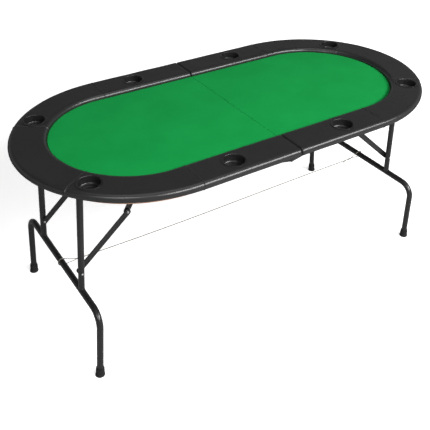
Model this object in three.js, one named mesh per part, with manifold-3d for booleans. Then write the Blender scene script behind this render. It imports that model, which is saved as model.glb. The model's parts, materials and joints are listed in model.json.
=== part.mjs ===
// Folding oval poker table, standing open on its two leg sets.
// Millimetres, +Z up. The origin is on the floor under the middle of the table.
// X runs along the table and Y across it; the front edge is on the -Y side.
// Each half is drawn as the right-hand one (+X) and turned half a turn about Z for the left.

import * as THREE from 'three';
import { mergeVertices } from 'three/addons/utils/BufferGeometryUtils.js';
import Module from 'manifold-3d';

const wasm = await Module();
wasm.setup();

// ---------- driving dimensions ----------

const LENGTH = 1770;
const WIDTH = 890;
const RAIL_WIDTH = 138;
const OUTER_CENTRE_X = 405;
const INNER_RADIUS = WIDTH / 2 - RAIL_WIDTH;
const GAP = 0.3;
const FOLD_GAP = 1.2;
const FOLD_ROUND = 6;

const RAIL_TOP = 778.5;
const RAIL_BOTTOM = 746;
const RAIL_ROUND = 16;
const BOARD_TOP = 757;
const BOARD_THICKNESS = 10;
const BOARD_INSET = 48.5;
const FELT_THICKNESS = 4;

const FOLD_AXIS_Z = 709;
const SKIRT_INSET = 57;
const SKIRT_THICKNESS = 15;
const SKIRT_END_X = 5;

const CUP_RADIUS = 40.4;
const CUP_FLANGE_RADIUS = 46.5;
const CUP_HOLE_RADIUS = 41.3;
const CUP_WALL = 2;
const CUP_FLOOR_Z = 747.4;
const CUP_PLACES = { side: [246, 375], corner: [721, 245] };

const LEG_PIVOT_X = 735.5;
const LEG_PIVOT_Z = 727.5;
const FOOT_X = 803.5;
const FOOT_Y = 347;
const CROSSBAR_Z = 290;
const FRAME_RADIUS = 12.5;
const UPRIGHT_RADIUS = 11.8;
const UPRIGHT_Y = 188;
const PIVOT_TUBE_RADIUS = 11;
const PIVOT_TUBE_HALF = 202;
const SADDLE_Y = 138;
const TUBE_WALL = 1.5;
const BEND_RADIUS = 58;
const TUBE_END_LIFT = 7;
const CAP_FOOT_RADIUS = 18.4;
const CAP_COLLAR_RADIUS = 15.8;
const CAP_HEIGHT = 38;

const BRACE_PIVOT_DROP = 355.5;
const BRACE_WIDTH = 23;
const BRACE_THICKNESS = 5;
const BRACE_INNER_Y = 169;
const LINK_INNER_Y = 160;
const ELBOW = new THREE.Vector2(561, 553.7);
const BRACKET_PIVOT = new THREE.Vector2(463, 718);
const BRACKET_LUG_RADIUS = 8.8;
const BRACKET_FLANGE_Y = 128;
const BRACKET_LENGTH = 40;
const BRACKET_TAB = 3;
const STRAP_THICKNESS = 2;
const STRAP_WIDTH = 30;
const STRAP_HALF_LENGTH = 30;
const RIVET_RADIUS = 3;
const RIVET_HOLE_RADIUS = 3.5;
const RIVET_HEAD_RADIUS = 4.75;
const RIVET_HEAD = 2.2;

const HINGE_FACE_Y = WIDTH / 2 - SKIRT_INSET;
const HINGE_PLATE = 2;
const HINGE_LUG_RADIUS = 8;
const HINGE_LENGTH = 66;
const HINGE_RISE = 30;
const HINGE_PIN_RADIUS = 2.9;
const HINGE_HOLE_RADIUS = 3.4;

const CORD_RADIUS = 2;
const LOOP_RADIUS = 1.8;
const CORD_SAG = 6;
const CORD_LEAVES_AT = Math.PI / 5;

const TAB_ANGLE = THREE.MathUtils.degToRad(-33.4);
const TAB_HALF_WIDTH = 24;
const TAB_TIP_HALF_WIDTH = 4;
const TAB_DROP = 24;
const TAB_THICKNESS = 2;

// ---------- derived dimensions ----------

const OUTER_AXIS_X = LENGTH / 2 - OUTER_CENTRE_X;
const OUTER_AXIS_Y = WIDTH / 2;
const INNER_CENTRE_X = LENGTH / 2 - RAIL_WIDTH - INNER_RADIUS;
const BOARD_BOTTOM = BOARD_TOP - BOARD_THICKNESS;
const SPLAY = Math.atan((FOOT_X - LEG_PIVOT_X) / LEG_PIVOT_Z);
const LEG_LENGTH = LEG_PIVOT_Z / Math.cos(SPLAY);
const CROSSBAR_DROP = (LEG_PIVOT_Z - CROSSBAR_Z) / Math.cos(SPLAY);
const BRACE_DROP = BRACE_PIVOT_DROP / Math.cos(SPLAY);

// ---------- materials ----------

const finish = (color, roughness, metalness) => ({ color, roughness, metalness });
const LEATHER = finish(0x2c2c2e, 0.5, 0);
const FELT = finish(0x179745, 0.95, 0);
const BOARD = finish(0x8a6f54, 0.8, 0);
const WOOD = finish(0xcda087, 0.6, 0);
const PLASTIC = finish(0x17181a, 0.35, 0);
const PAINTED_STEEL = finish(0x333437, 0.45, 0.4);
const BARE_STEEL = finish(0xb9bcc0, 0.3, 1);
const RUBBER = finish(0x1c1c1d, 0.8, 0);
const CORD = finish(0xaaa596, 0.9, 0);

// ---------- solid helpers ----------

function toSolid(geometry) {
  const bare = geometry.clone();
  bare.deleteAttribute('normal');
  bare.deleteAttribute('uv');
  const merged = mergeVertices(bare, 1e-4);
  const index = Array.from(merged.index.array);
  const triangles = [];
  for (let i = 0; i < index.length; i += 3) {
    const [a, b, c] = index.slice(i, i + 3);
    if (a !== b && b !== c && c !== a) triangles.push(a, b, c);
  }
  const mesh = new wasm.Mesh({
    numProp: 3,
    vertProperties: new Float32Array(merged.attributes.position.array),
    triVerts: new Uint32Array(triangles),
  });
  return new wasm.Manifold(mesh);
}

function toGeometry(solid) {
  const mesh = solid.getMesh();
  const geometry = new THREE.BufferGeometry();
  geometry.setAttribute('position', new THREE.BufferAttribute(mesh.vertProperties, 3));
  geometry.setIndex(new THREE.BufferAttribute(mesh.triVerts, 1));
  geometry.computeVertexNormals();
  return geometry;
}

function cut(geometry, tools) {
  const solid = tools.reduce((rest, tool) => rest.subtract(toSolid(tool)), toSolid(geometry));
  return toGeometry(solid);
}

function join(geometries) {
  const solids = geometries.map(toSolid);
  return toGeometry(solids.reduce((whole, next) => whole.add(next)));
}

function add(parent, name, geometry, look) {
  const mesh = new THREE.Mesh(geometry, new THREE.MeshStandardMaterial(look));
  mesh.name = name;
  parent.add(mesh);
  return mesh;
}

// A solid of revolution about the line through (x, z) parallel to Y; profile is [radius, y].
function turnedAlongY(profile, x, z, segments = 14) {
  const points = profile.map(([r, y]) => new THREE.Vector2(r, y));
  return new THREE.LatheGeometry(points, segments).translate(x, 0, z);
}

function rodAlongY(radius, x, z, y0, y1, segments = 16) {
  const rod = new THREE.CylinderGeometry(radius, radius, y1 - y0, segments);
  return rod.translate(x, (y0 + y1) / 2, z);
}

function rodAlongZ(radius, x, y, z0, z1, segments = 24) {
  const rod = new THREE.CylinderGeometry(radius, radius, z1 - z0, segments);
  return rod.rotateX(Math.PI / 2).translate(x, y, (z0 + z1) / 2);
}

// A plate drawn in the XZ plane, its thickness running from y0 to y1.
function plateInXZ(shape, y0, y1, curveSegments = 6) {
  const plate = new THREE.ExtrudeGeometry(shape, {
    depth: y1 - y0,
    bevelEnabled: false,
    curveSegments,
  });
  return plate.rotateX(Math.PI / 2).translate(0, y1, 0);
}

// ---------- tubes ----------

class StationCurve extends THREE.Curve {
  constructor(stations) {
    super();
    this.stations = stations;
  }

  at(t, key, target) {
    const last = this.stations.length - 1;
    const index = Math.min(Math.floor(t * last + 1e-6), last - 1);
    const from = this.stations[index][key];
    const to = this.stations[index + 1][key];
    return target.lerpVectors(from, to, t * last - index);
  }

  getPoint(t, target = new THREE.Vector3()) {
    return this.at(t, 'point', target);
  }

  getPointAt(t, target) {
    return this.getPoint(t, target);
  }

  getTangent(t, target = new THREE.Vector3()) {
    return this.at(t, 'tangent', target).normalize();
  }

  getTangentAt(t, target) {
    return this.getTangent(t, target);
  }
}

// Straight runs between the corners, joined by round bends.
function bentStations(corners, radius, bendSteps) {
  const first = corners[0];
  const start = corners[1].clone().sub(first).normalize();
  const stations = [{ point: first, tangent: start }];
  for (let i = 1; i < corners.length - 1; i += 1) {
    const corner = corners[i];
    const before = corner.clone().sub(corners[i - 1]).normalize();
    const after = corners[i + 1].clone().sub(corner).normalize();
    const turn = before.angleTo(after);
    const inward = after.clone().addScaledVector(before, -Math.cos(turn)).normalize();
    const bendStart = corner.clone().addScaledVector(before, -radius * Math.tan(turn / 2));
    const centre = bendStart.clone().addScaledVector(inward, radius);
    for (let k = 0; k <= bendSteps; k += 1) {
      const angle = (turn * k) / bendSteps;
      const point = centre.clone().addScaledVector(inward, -radius * Math.cos(angle));
      point.addScaledVector(before, radius * Math.sin(angle));
      const tangent = before.clone().multiplyScalar(Math.cos(angle));
      tangent.addScaledVector(inward, Math.sin(angle));
      stations.push({ point, tangent });
    }
  }
  const end = corners[corners.length - 1];
  stations.push({ point: end, tangent: end.clone().sub(corners[corners.length - 2]).normalize() });
  return stations;
}

function tube(stations, outerRadius, innerRadius, curveSegments = 6) {
  const section = new THREE.Shape();
  section.absarc(0, 0, outerRadius, 0, 2 * Math.PI, false);
  if (innerRadius > 0) {
    const bore = new THREE.Path();
    bore.absarc(0, 0, innerRadius, 0, 2 * Math.PI, true);
    section.holes.push(bore);
  }
  return new THREE.ExtrudeGeometry(section, {
    steps: stations.length - 1,
    extrudePath: new StationCurve(stations),
    curveSegments,
  });
}

const straight = (from, to) => bentStations([from, to], 0, 0);

// ---------- outlines of one half, x from the fold to the end ----------

function outerShape(inset, startX) {
  const shape = new THREE.Shape();
  const a = OUTER_AXIS_X - inset;
  const b = OUTER_AXIS_Y - inset;
  shape.moveTo(startX, -b);
  shape.lineTo(OUTER_CENTRE_X, -b);
  shape.absellipse(OUTER_CENTRE_X, 0, a, b, -Math.PI / 2, Math.PI / 2, false);
  shape.lineTo(startX, b);
  return shape;
}

function ringShape(startX) {
  const shape = outerShape(0, startX);
  shape.lineTo(startX, INNER_RADIUS);
  shape.lineTo(INNER_CENTRE_X, INNER_RADIUS);
  shape.absarc(INNER_CENTRE_X, 0, INNER_RADIUS, Math.PI / 2, -Math.PI / 2, true);
  shape.lineTo(startX, -INNER_RADIUS);
  return shape;
}

function slab(shape, z0, z1, curveSegments = 12) {
  const solid = new THREE.ExtrudeGeometry(shape, {
    depth: z1 - z0,
    bevelEnabled: false,
    curveSegments,
  });
  return solid.translate(0, 0, z0);
}

// ---------- pieces of one half top ----------

function cupPositions() {
  const places = Object.values(CUP_PLACES);
  return places.flatMap(([x, y]) => [[x, -y], [x, y]]);
}

function railPad() {
  const thickness = RAIL_TOP - RAIL_BOTTOM;
  const pad = new THREE.ExtrudeGeometry(ringShape(FOLD_GAP + FOLD_ROUND - RAIL_ROUND), {
    depth: thickness - 2 * RAIL_ROUND,
    bevelEnabled: true,
    bevelThickness: RAIL_ROUND,
    bevelSize: RAIL_ROUND,
    bevelOffset: -RAIL_ROUND,
    bevelSegments: 4,
    curveSegments: 12,
  });
  pad.translate(0, 0, RAIL_BOTTOM + RAIL_ROUND);
  const seat = slab(outerShape(BOARD_INSET - GAP, -20), RAIL_BOTTOM - 10, BOARD_TOP + GAP);
  const holes = cupPositions().map(([x, y]) => {
    return rodAlongZ(CUP_HOLE_RADIUS, x, y, RAIL_BOTTOM - 10, RAIL_TOP + 10);
  });
  const beyondFold = new THREE.BoxGeometry(100, 2 * WIDTH, 200);
  beyondFold.translate(FOLD_GAP - 50, 0, RAIL_TOP);
  return cut(pad, [seat, beyondFold, ...holes]);
}

function topBoard() {
  const board = slab(outerShape(BOARD_INSET, FOLD_GAP), BOARD_BOTTOM, BOARD_TOP);
  const holes = cupPositions().map(([x, y]) => {
    return rodAlongZ(CUP_HOLE_RADIUS + GAP, x, y, BOARD_BOTTOM - 10, BOARD_TOP + 10);
  });
  return cut(board, holes);
}

function feltPad() {
  const radius = INNER_RADIUS - 2 * GAP;
  const shape = new THREE.Shape();
  shape.moveTo(GAP, -radius);
  shape.lineTo(INNER_CENTRE_X, -radius);
  shape.absarc(INNER_CENTRE_X, 0, radius, -Math.PI / 2, Math.PI / 2, false);
  shape.lineTo(GAP, radius);
  return slab(shape, BOARD_TOP + GAP, BOARD_TOP + FELT_THICKNESS);
}

function skirt() {
  const bottom = FOLD_AXIS_Z + GAP;
  const top = BOARD_BOTTOM - GAP;
  const band = slab(outerShape(SKIRT_INSET, SKIRT_END_X), bottom, top);
  const inside = slab(outerShape(SKIRT_INSET + SKIRT_THICKNESS, -20), bottom - 10, top + 10);
  return cut(band, [inside]);
}

function cupHolder() {
  const seatZ = RAIL_TOP + GAP;
  const profile = [
    [0, CUP_FLOOR_Z],
    [CUP_RADIUS - 3, CUP_FLOOR_Z],
    [CUP_RADIUS, CUP_FLOOR_Z + 3],
    [CUP_RADIUS, seatZ],
    [CUP_FLANGE_RADIUS, seatZ],
    [CUP_FLANGE_RADIUS - 1.2, seatZ + 1.2],
    [CUP_RADIUS - CUP_WALL + 0.6, seatZ + 1.2],
    [CUP_RADIUS - CUP_WALL, seatZ + 0.2],
    [CUP_RADIUS - CUP_WALL, CUP_FLOOR_Z + CUP_WALL],
    [0, CUP_FLOOR_Z + CUP_WALL],
  ];
  const points = profile.map(([r, z]) => new THREE.Vector2(r, z));
  return new THREE.LatheGeometry(points, 20).rotateX(Math.PI / 2);
}

// ---------- pieces of one leg set, pivot axis at the origin and legs down -Z ----------

function lowerFrame() {
  const bottom = TUBE_END_LIFT - LEG_LENGTH;
  const corners = [
    new THREE.Vector3(0, -FOOT_Y, bottom),
    new THREE.Vector3(0, -FOOT_Y, -CROSSBAR_DROP),
    new THREE.Vector3(0, FOOT_Y, -CROSSBAR_DROP),
    new THREE.Vector3(0, FOOT_Y, bottom),
  ];
  return tube(bentStations(corners, BEND_RADIUS, 6), FRAME_RADIUS, FRAME_RADIUS - TUBE_WALL);
}

function pivotTube() {
  const ends = [-PIVOT_TUBE_HALF, PIVOT_TUBE_HALF].map((y) => new THREE.Vector3(0, y, 0));
  return tube(straight(...ends), PIVOT_TUBE_RADIUS, PIVOT_TUBE_RADIUS - TUBE_WALL);
}

// Coped over the pivot tube at the top and over the crossbar at the bottom.
function upright(y) {
  const top = new THREE.Vector3(0, y, -6);
  const bottom = new THREE.Vector3(0, y, -CROSSBAR_DROP);
  const pipe = tube(straight(top, bottom), UPRIGHT_RADIUS, UPRIGHT_RADIUS - TUBE_WALL);
  const y0 = y - 30;
  const y1 = y + 30;
  return cut(pipe, [
    rodAlongY(PIVOT_TUBE_RADIUS + GAP, 0, 0, y0, y1, 24),
    rodAlongY(FRAME_RADIUS + GAP, 0, -CROSSBAR_DROP, y0, y1, 24),
    rodAlongY(RIVET_HOLE_RADIUS, 0, -BRACE_DROP, y0, y1),
  ]);
}

// The bottom face is cut level, so that the splayed leg stands flat on the floor.
function footCap(y, floorInLeg) {
  const belowFloor = -3;
  const bore = FRAME_RADIUS + GAP;
  const boreEnd = TUBE_END_LIFT - 0.5;
  const profile = [
    [0, belowFloor],
    [CAP_FOOT_RADIUS, belowFloor],
    [CAP_FOOT_RADIUS, 6],
    [CAP_COLLAR_RADIUS + 0.8, 12],
    [CAP_COLLAR_RADIUS, CAP_HEIGHT],
    [bore, CAP_HEIGHT],
    [bore, boreEnd],
    [0, boreEnd],
  ];
  const points = profile.map(([r, z]) => new THREE.Vector2(r, z));
  const cap = new THREE.LatheGeometry(points, 20).rotateX(Math.PI / 2);
  return cut(cap.translate(0, y, -LEG_LENGTH), [floorInLeg]);
}

// Axis along Y, measured outwards from the middle of the table.
function braceRivet(sign) {
  const inner = BRACE_INNER_Y - GAP;
  const outer = UPRIGHT_Y + UPRIGHT_RADIUS + GAP;
  const profile = [
    [0, inner - RIVET_HEAD],
    [RIVET_HEAD_RADIUS - 1.5, inner - RIVET_HEAD],
    [RIVET_HEAD_RADIUS, inner],
    [RIVET_RADIUS, inner],
    [RIVET_RADIUS, outer],
    [RIVET_HEAD_RADIUS, outer],
    [RIVET_HEAD_RADIUS - 1.5, outer + RIVET_HEAD],
    [0, outer + RIVET_HEAD],
  ];
  return mirrorY(turnedAlongY(profile, 0, -BRACE_DROP), sign);
}

// ---------- brace pieces, in the frame of the half ----------

// Mirrors a piece drawn on the +Y side to the -Y side and keeps its faces pointing out.
function mirrorY(geometry, sign) {
  if (sign > 0) return geometry;
  const flipped = geometry.clone().scale(1, -1, 1);
  const index = flipped.index ? flipped.index.array : null;
  if (index) {
    for (let i = 0; i < index.length; i += 3) {
      [index[i], index[i + 1]] = [index[i + 1], index[i]];
    }
    return flipped;
  }
  return mirrorLoose(flipped);
}

function mirrorLoose(geometry) {
  const position = geometry.attributes.position;
  const a = new THREE.Vector3();
  const b = new THREE.Vector3();
  for (let i = 0; i < position.count; i += 3) {
    a.fromBufferAttribute(position, i);
    b.fromBufferAttribute(position, i + 1);
    position.setXYZ(i, b.x, b.y, b.z);
    position.setXYZ(i + 1, a.x, a.y, a.z);
  }
  return geometry;
}

// A flat bar with round ends, between two points of the XZ plane.
function bar(from, to, holes, y0, y1) {
  const length = from.distanceTo(to);
  const radius = BRACE_WIDTH / 2;
  const shape = new THREE.Shape();
  shape.absarc(length, 0, radius, -Math.PI / 2, Math.PI / 2, false);
  shape.absarc(0, 0, radius, Math.PI / 2, (3 * Math.PI) / 2, false);
  for (const along of holes) {
    const hole = new THREE.Path();
    hole.absarc(along * length, 0, RIVET_HOLE_RADIUS, 0, 2 * Math.PI, true);
    shape.holes.push(hole);
  }
  const angle = Math.atan2(to.y - from.y, to.x - from.x);
  const plate = new THREE.ExtrudeGeometry(shape, {
    depth: y1 - y0,
    bevelEnabled: false,
    curveSegments: 6,
  });
  plate.rotateZ(angle).translate(from.x, from.y, 0);
  return plate.rotateX(Math.PI / 2).translate(0, y1, 0);
}

function lowerBracePivot() {
  const x = LEG_PIVOT_X + BRACE_DROP * Math.sin(SPLAY);
  return new THREE.Vector2(x, LEG_PIVOT_Z - BRACE_PIVOT_DROP);
}

function lowerBrace(sign) {
  const plate = bar(lowerBracePivot(), ELBOW, [0, 1], BRACE_INNER_Y, BRACE_INNER_Y + BRACE_THICKNESS);
  return mirrorY(plate, sign);
}

function upperLink(sign) {
  const plate = bar(ELBOW, BRACKET_PIVOT, [1], LINK_INNER_Y, LINK_INNER_Y + BRACE_THICKNESS);
  return mirrorY(plate, sign);
}

function elbowRivet(sign) {
  const outer = BRACE_INNER_Y + BRACE_THICKNESS + GAP;
  const profile = [
    [0, LINK_INNER_Y + BRACE_THICKNESS + 0.6],
    [RIVET_RADIUS, LINK_INNER_Y + BRACE_THICKNESS + 0.6],
    [RIVET_RADIUS, outer],
    [RIVET_HEAD_RADIUS, outer],
    [RIVET_HEAD_RADIUS - 1.5, outer + RIVET_HEAD],
    [0, outer + RIVET_HEAD],
  ];
  return mirrorY(turnedAlongY(profile, ELBOW.x, ELBOW.y), sign);
}

// An angle plate screwed under the board, with the riveted pin of the upper link.
function braceBracket(sign) {
  const tabOuter = LINK_INNER_Y - 0.4;
  const tabInner = tabOuter - BRACKET_TAB;
  const flangeTop = BOARD_BOTTOM - GAP;
  const tab = new THREE.Shape();
  tab.absarc(BRACKET_PIVOT.x, BRACKET_PIVOT.y, BRACKET_LUG_RADIUS, Math.PI, 2 * Math.PI, false);
  tab.lineTo(BRACKET_PIVOT.x + BRACKET_LENGTH / 2, flangeTop);
  tab.lineTo(BRACKET_PIVOT.x - BRACKET_LENGTH / 2, flangeTop);
  const flangeWidth = tabOuter - BRACKET_FLANGE_Y;
  const flange = new THREE.BoxGeometry(BRACKET_LENGTH, flangeWidth, STRAP_THICKNESS);
  flange.translate(BRACKET_PIVOT.x, tabOuter - flangeWidth / 2, flangeTop - STRAP_THICKNESS / 2);
  const linkOuter = LINK_INNER_Y + BRACE_THICKNESS + GAP;
  const pin = turnedAlongY([
    [0, tabInner + 1],
    [RIVET_RADIUS, tabInner + 1],
    [RIVET_RADIUS, linkOuter],
    [RIVET_HEAD_RADIUS, linkOuter],
    [RIVET_HEAD_RADIUS - 1, linkOuter + 1.8],
    [0, linkOuter + 1.8],
  ], BRACKET_PIVOT.x, BRACKET_PIVOT.y);
  const bracket = join([plateInXZ(tab, tabInner, tabOuter), flange, pin]);
  return mirrorY(bracket, sign);
}

// A strap that holds the pivot tube up against the board, with a flange on each side.
function pivotSaddle(y) {
  const inner = PIVOT_TUBE_RADIUS + 2 * GAP;
  const outer = inner + STRAP_THICKNESS;
  const top = BOARD_BOTTOM - GAP - LEG_PIVOT_Z;
  const flangeBottom = top - STRAP_THICKNESS;
  const shape = new THREE.Shape();
  shape.moveTo(-STRAP_HALF_LENGTH, top);
  shape.lineTo(-STRAP_HALF_LENGTH, flangeBottom);
  shape.lineTo(-outer, flangeBottom);
  shape.lineTo(-outer, 0);
  shape.absarc(0, 0, outer, Math.PI, 2 * Math.PI, false);
  shape.lineTo(outer, flangeBottom);
  shape.lineTo(STRAP_HALF_LENGTH, flangeBottom);
  shape.lineTo(STRAP_HALF_LENGTH, top);
  shape.lineTo(inner, top);
  shape.lineTo(inner, 0);
  shape.absarc(0, 0, inner, 2 * Math.PI, Math.PI, true);
  shape.lineTo(-inner, top);
  const strap = plateInXZ(shape, y - STRAP_WIDTH / 2, y + STRAP_WIDTH / 2);
  return strap.translate(LEG_PIVOT_X, 0, LEG_PIVOT_Z);
}

// ---------- fold hinge, one side plate on each half ----------

function hingePlate(holeRadius, y0) {
  const shape = new THREE.Shape();
  const z = FOLD_AXIS_Z;
  shape.moveTo(HINGE_LENGTH, z + 6);
  shape.lineTo(HINGE_LENGTH, z + HINGE_RISE);
  shape.lineTo(12, z + HINGE_RISE);
  shape.absarc(0, z, HINGE_LUG_RADIUS, Math.PI * 0.85, Math.PI * 1.7, false);
  if (holeRadius > 0) {
    const hole = new THREE.Path();
    hole.absarc(0, z, holeRadius, 0, 2 * Math.PI, true);
    shape.holes.push(hole);
  }
  return plateInXZ(shape, y0, y0 + HINGE_PLATE);
}

// The left plate lies against the skirt and carries the riveted pin.
function innerHingePlate(sign) {
  const y0 = HINGE_FACE_Y + GAP;
  const outerPlate = y0 + 2 * (HINGE_PLATE + GAP);
  const pin = turnedAlongY([
    [0, y0 + 0.5],
    [HINGE_PIN_RADIUS, y0 + 0.5],
    [HINGE_PIN_RADIUS, outerPlate],
    [5.5, outerPlate],
    [4.5, outerPlate + 1.8],
    [0, outerPlate + 1.8],
  ], 0, FOLD_AXIS_Z);
  return mirrorY(join([hingePlate(0, y0), pin]), sign);
}

function outerHingePlate(sign) {
  return mirrorY(hingePlate(HINGE_HOLE_RADIUS, HINGE_FACE_Y + 2 * GAP + HINGE_PLATE), sign);
}

// ---------- cord between the crossbars ----------

function crossbarX() {
  return LEG_PIVOT_X + CROSSBAR_DROP * Math.sin(SPLAY);
}

function cordSpan() {
  const reach = FRAME_RADIUS + 2 * LOOP_RADIUS + 4 * GAP;
  const endX = crossbarX() - reach * Math.cos(CORD_LEAVES_AT);
  const endZ = CROSSBAR_Z - reach * Math.sin(CORD_LEAVES_AT);
  const steps = 8;
  const stations = [];
  for (let i = 0; i <= steps; i += 1) {
    const s = (2 * i) / steps - 1;
    const point = new THREE.Vector3(s * endX, 0, endZ - CORD_SAG * (1 - s * s));
    const tangent = new THREE.Vector3(endX, 0, 2 * CORD_SAG * s).normalize();
    stations.push({ point, tangent });
  }
  return tube(stations, CORD_RADIUS, 0, 4);
}

function cordLoop() {
  const radius = FRAME_RADIUS + LOOP_RADIUS + GAP;
  const ring = new THREE.TorusGeometry(radius, LOOP_RADIUS, 6, 20);
  return ring.rotateX(Math.PI / 2).translate(0, 0, -CROSSBAR_DROP);
}

// ---------- closure tab: a small leather triangle hanging under the rail ----------

function closureTab() {
  const a = OUTER_AXIS_X - SKIRT_INSET;
  const b = OUTER_AXIS_Y - SKIRT_INSET;
  const normal = new THREE.Vector2(Math.cos(TAB_ANGLE) / a, Math.sin(TAB_ANGLE) / b).normalize();
  const shape = new THREE.Shape();
  shape.moveTo(-TAB_HALF_WIDTH, 0);
  shape.lineTo(-TAB_TIP_HALF_WIDTH, -TAB_DROP);
  shape.lineTo(TAB_TIP_HALF_WIDTH, -TAB_DROP);
  shape.lineTo(TAB_HALF_WIDTH, 0);
  const tab = new THREE.ExtrudeGeometry(shape, { depth: TAB_THICKNESS, bevelEnabled: false });
  tab.rotateX(Math.PI / 2).rotateZ(Math.atan2(normal.y, normal.x) + Math.PI / 2);
  const stand = TAB_THICKNESS + 2 * GAP;
  const x = OUTER_CENTRE_X + a * Math.cos(TAB_ANGLE) + stand * normal.x;
  const y = b * Math.sin(TAB_ANGLE) + stand * normal.y;
  return tab.translate(x, y, RAIL_BOTTOM - GAP);
}

// ---------- assembly ----------

const table = new THREE.Group();

for (const half of ['left', 'right']) {
  const turned = half === 'left';
  const top = new THREE.Group();
  top.rotation.z = turned ? Math.PI : 0;
  table.add(top);
  add(top, `${half}_top_board`, topBoard(), BOARD);
  add(top, `${half}_felt`, feltPad(), FELT);
  add(top, `${half}_skirt`, skirt(), WOOD);
  add(top, `${half}_rail_pad`, railPad(), LEATHER);

  const leg = new THREE.Group();
  leg.position.set(LEG_PIVOT_X, 0, LEG_PIVOT_Z);
  leg.rotation.y = -SPLAY;
  leg.updateMatrix();
  top.add(leg);
  const floor = new THREE.BoxGeometry(2 * LENGTH, 2 * WIDTH, 100).translate(0, 0, -50);
  floor.applyMatrix4(leg.matrix.clone().invert());
  add(leg, `${half}_pivot_tube`, pivotTube(), PAINTED_STEEL);
  add(leg, `${half}_lower_frame`, lowerFrame(), PAINTED_STEEL);
  add(leg, `${half}_cord_loop`, cordLoop(), CORD);

  for (const end of ['front', 'rear']) {
    const sign = (end === 'front') === turned ? 1 : -1;
    const part = `${half}_${end}`;
    for (const [place, [x, y]] of Object.entries(CUP_PLACES)) {
      const cup = add(top, `${part}_${place}_cup_holder`, cupHolder(), PLASTIC);
      cup.position.set(x, sign * y, 0);
    }
    add(leg, `${part}_upright`, upright(sign * UPRIGHT_Y), PAINTED_STEEL);
    add(leg, `${part}_foot_cap`, footCap(sign * FOOT_Y, floor), RUBBER);
    add(leg, `${part}_brace_rivet`, braceRivet(sign), BARE_STEEL);
    add(top, `${part}_pivot_saddle`, pivotSaddle(sign * SADDLE_Y), PAINTED_STEEL);
    add(top, `${part}_brace_bracket`, braceBracket(sign), PAINTED_STEEL);
    add(top, `${part}_lower_brace`, lowerBrace(sign), PAINTED_STEEL);
    add(top, `${part}_upper_link`, upperLink(sign), PAINTED_STEEL);
    add(top, `${part}_elbow_rivet`, elbowRivet(sign), BARE_STEEL);
    const plate = turned ? innerHingePlate(sign) : outerHingePlate(sign);
    add(top, `${part}_hinge_plate`, plate, PAINTED_STEEL);
  }
  if (!turned) add(top, 'closure_tab', closureTab(), LEATHER);
}
add(table, 'cord_span', cordSpan(), CORD);

export default table;
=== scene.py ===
# Looks of the folding poker table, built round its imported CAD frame. Metres, +Z up.

import json
import math

import bmesh
import bpy
import numpy as np
from mathutils import Matrix, Vector, noise


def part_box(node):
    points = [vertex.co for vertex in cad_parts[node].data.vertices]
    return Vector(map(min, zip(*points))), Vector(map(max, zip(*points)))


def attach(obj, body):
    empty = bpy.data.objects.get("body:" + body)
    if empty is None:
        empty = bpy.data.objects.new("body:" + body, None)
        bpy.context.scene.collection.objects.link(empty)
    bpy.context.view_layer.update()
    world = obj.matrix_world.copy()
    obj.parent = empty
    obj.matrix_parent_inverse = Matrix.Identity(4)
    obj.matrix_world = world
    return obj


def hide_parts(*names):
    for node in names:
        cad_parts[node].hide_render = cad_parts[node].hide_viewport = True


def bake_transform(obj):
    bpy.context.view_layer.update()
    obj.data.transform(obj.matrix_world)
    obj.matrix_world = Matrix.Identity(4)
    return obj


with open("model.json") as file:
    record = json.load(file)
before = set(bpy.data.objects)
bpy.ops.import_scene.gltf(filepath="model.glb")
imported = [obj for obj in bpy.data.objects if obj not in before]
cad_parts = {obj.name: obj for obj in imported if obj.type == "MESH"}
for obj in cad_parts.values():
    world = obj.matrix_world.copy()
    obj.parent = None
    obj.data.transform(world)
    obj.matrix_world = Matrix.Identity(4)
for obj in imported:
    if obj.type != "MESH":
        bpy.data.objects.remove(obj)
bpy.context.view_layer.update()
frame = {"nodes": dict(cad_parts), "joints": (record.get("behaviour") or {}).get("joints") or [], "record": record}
MM = 0.001
HALVES = {"left": -1, "right": 1}
ENDS = {"front": -1, "rear": 1}
JOINTS = {joint["name"]: joint for joint in frame["joints"]}
MOUNTS = {mount["name"]: mount for mount in frame["record"]["mounts"]}


# ---------- sizes, read from the frame where it holds them ----------

def box_of(node):
    low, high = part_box(node)
    return low, high, (low + high) / 2


RAIL_LOW, RAIL_HIGH, _ = box_of("right_rail_pad")
HALF_LENGTH, HALF_WIDTH = RAIL_HIGH.x, RAIL_HIGH.y
RAIL_TOP, RAIL_BOTTOM = RAIL_HIGH.z, RAIL_LOW.z
FOLD_X = RAIL_LOW.x
_, FELT_HIGH, _ = box_of("right_felt")
FELT_TOP = FELT_HIGH.z
FELT_CLEARANCE = 0.6 * MM
INNER_RADIUS = FELT_HIGH.y + FELT_CLEARANCE
INNER_CENTRE_X = FELT_HIGH.x - FELT_HIGH.y
BOARD_LOW, BOARD_HIGH, _ = box_of("right_top_board")
BOARD_INSET = HALF_WIDTH - BOARD_HIGH.y
SKIRT_LOW, SKIRT_HIGH, _ = box_of("right_skirt")
SKIRT_INSET = HALF_WIDTH - SKIRT_HIGH.y
SKIRT_THICKNESS = 15 * MM
OUTER_CENTRE_X = 405 * MM
OUTER_AXIS_X = HALF_LENGTH - OUTER_CENTRE_X
RAIL_ROUND = 16 * MM
GAP = 0.3 * MM
SEAT_Z = BOARD_HIGH.z + GAP
FOLD_ROUND = 6 * MM

CUP_NODES = [f"{half}_{end}_{place}_cup_holder"
             for half in HALVES for end in ENDS for place in ("side", "corner")]
CUP_LOW, CUP_HIGH, _ = box_of(CUP_NODES[0])
CUP_FLANGE = (CUP_HIGH.x - CUP_LOW.x) / 2
CUP_LIP = 6.1 * MM
CUP_RADIUS = CUP_FLANGE - CUP_LIP
CUP_HOLE = CUP_RADIUS + 0.9 * MM

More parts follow.
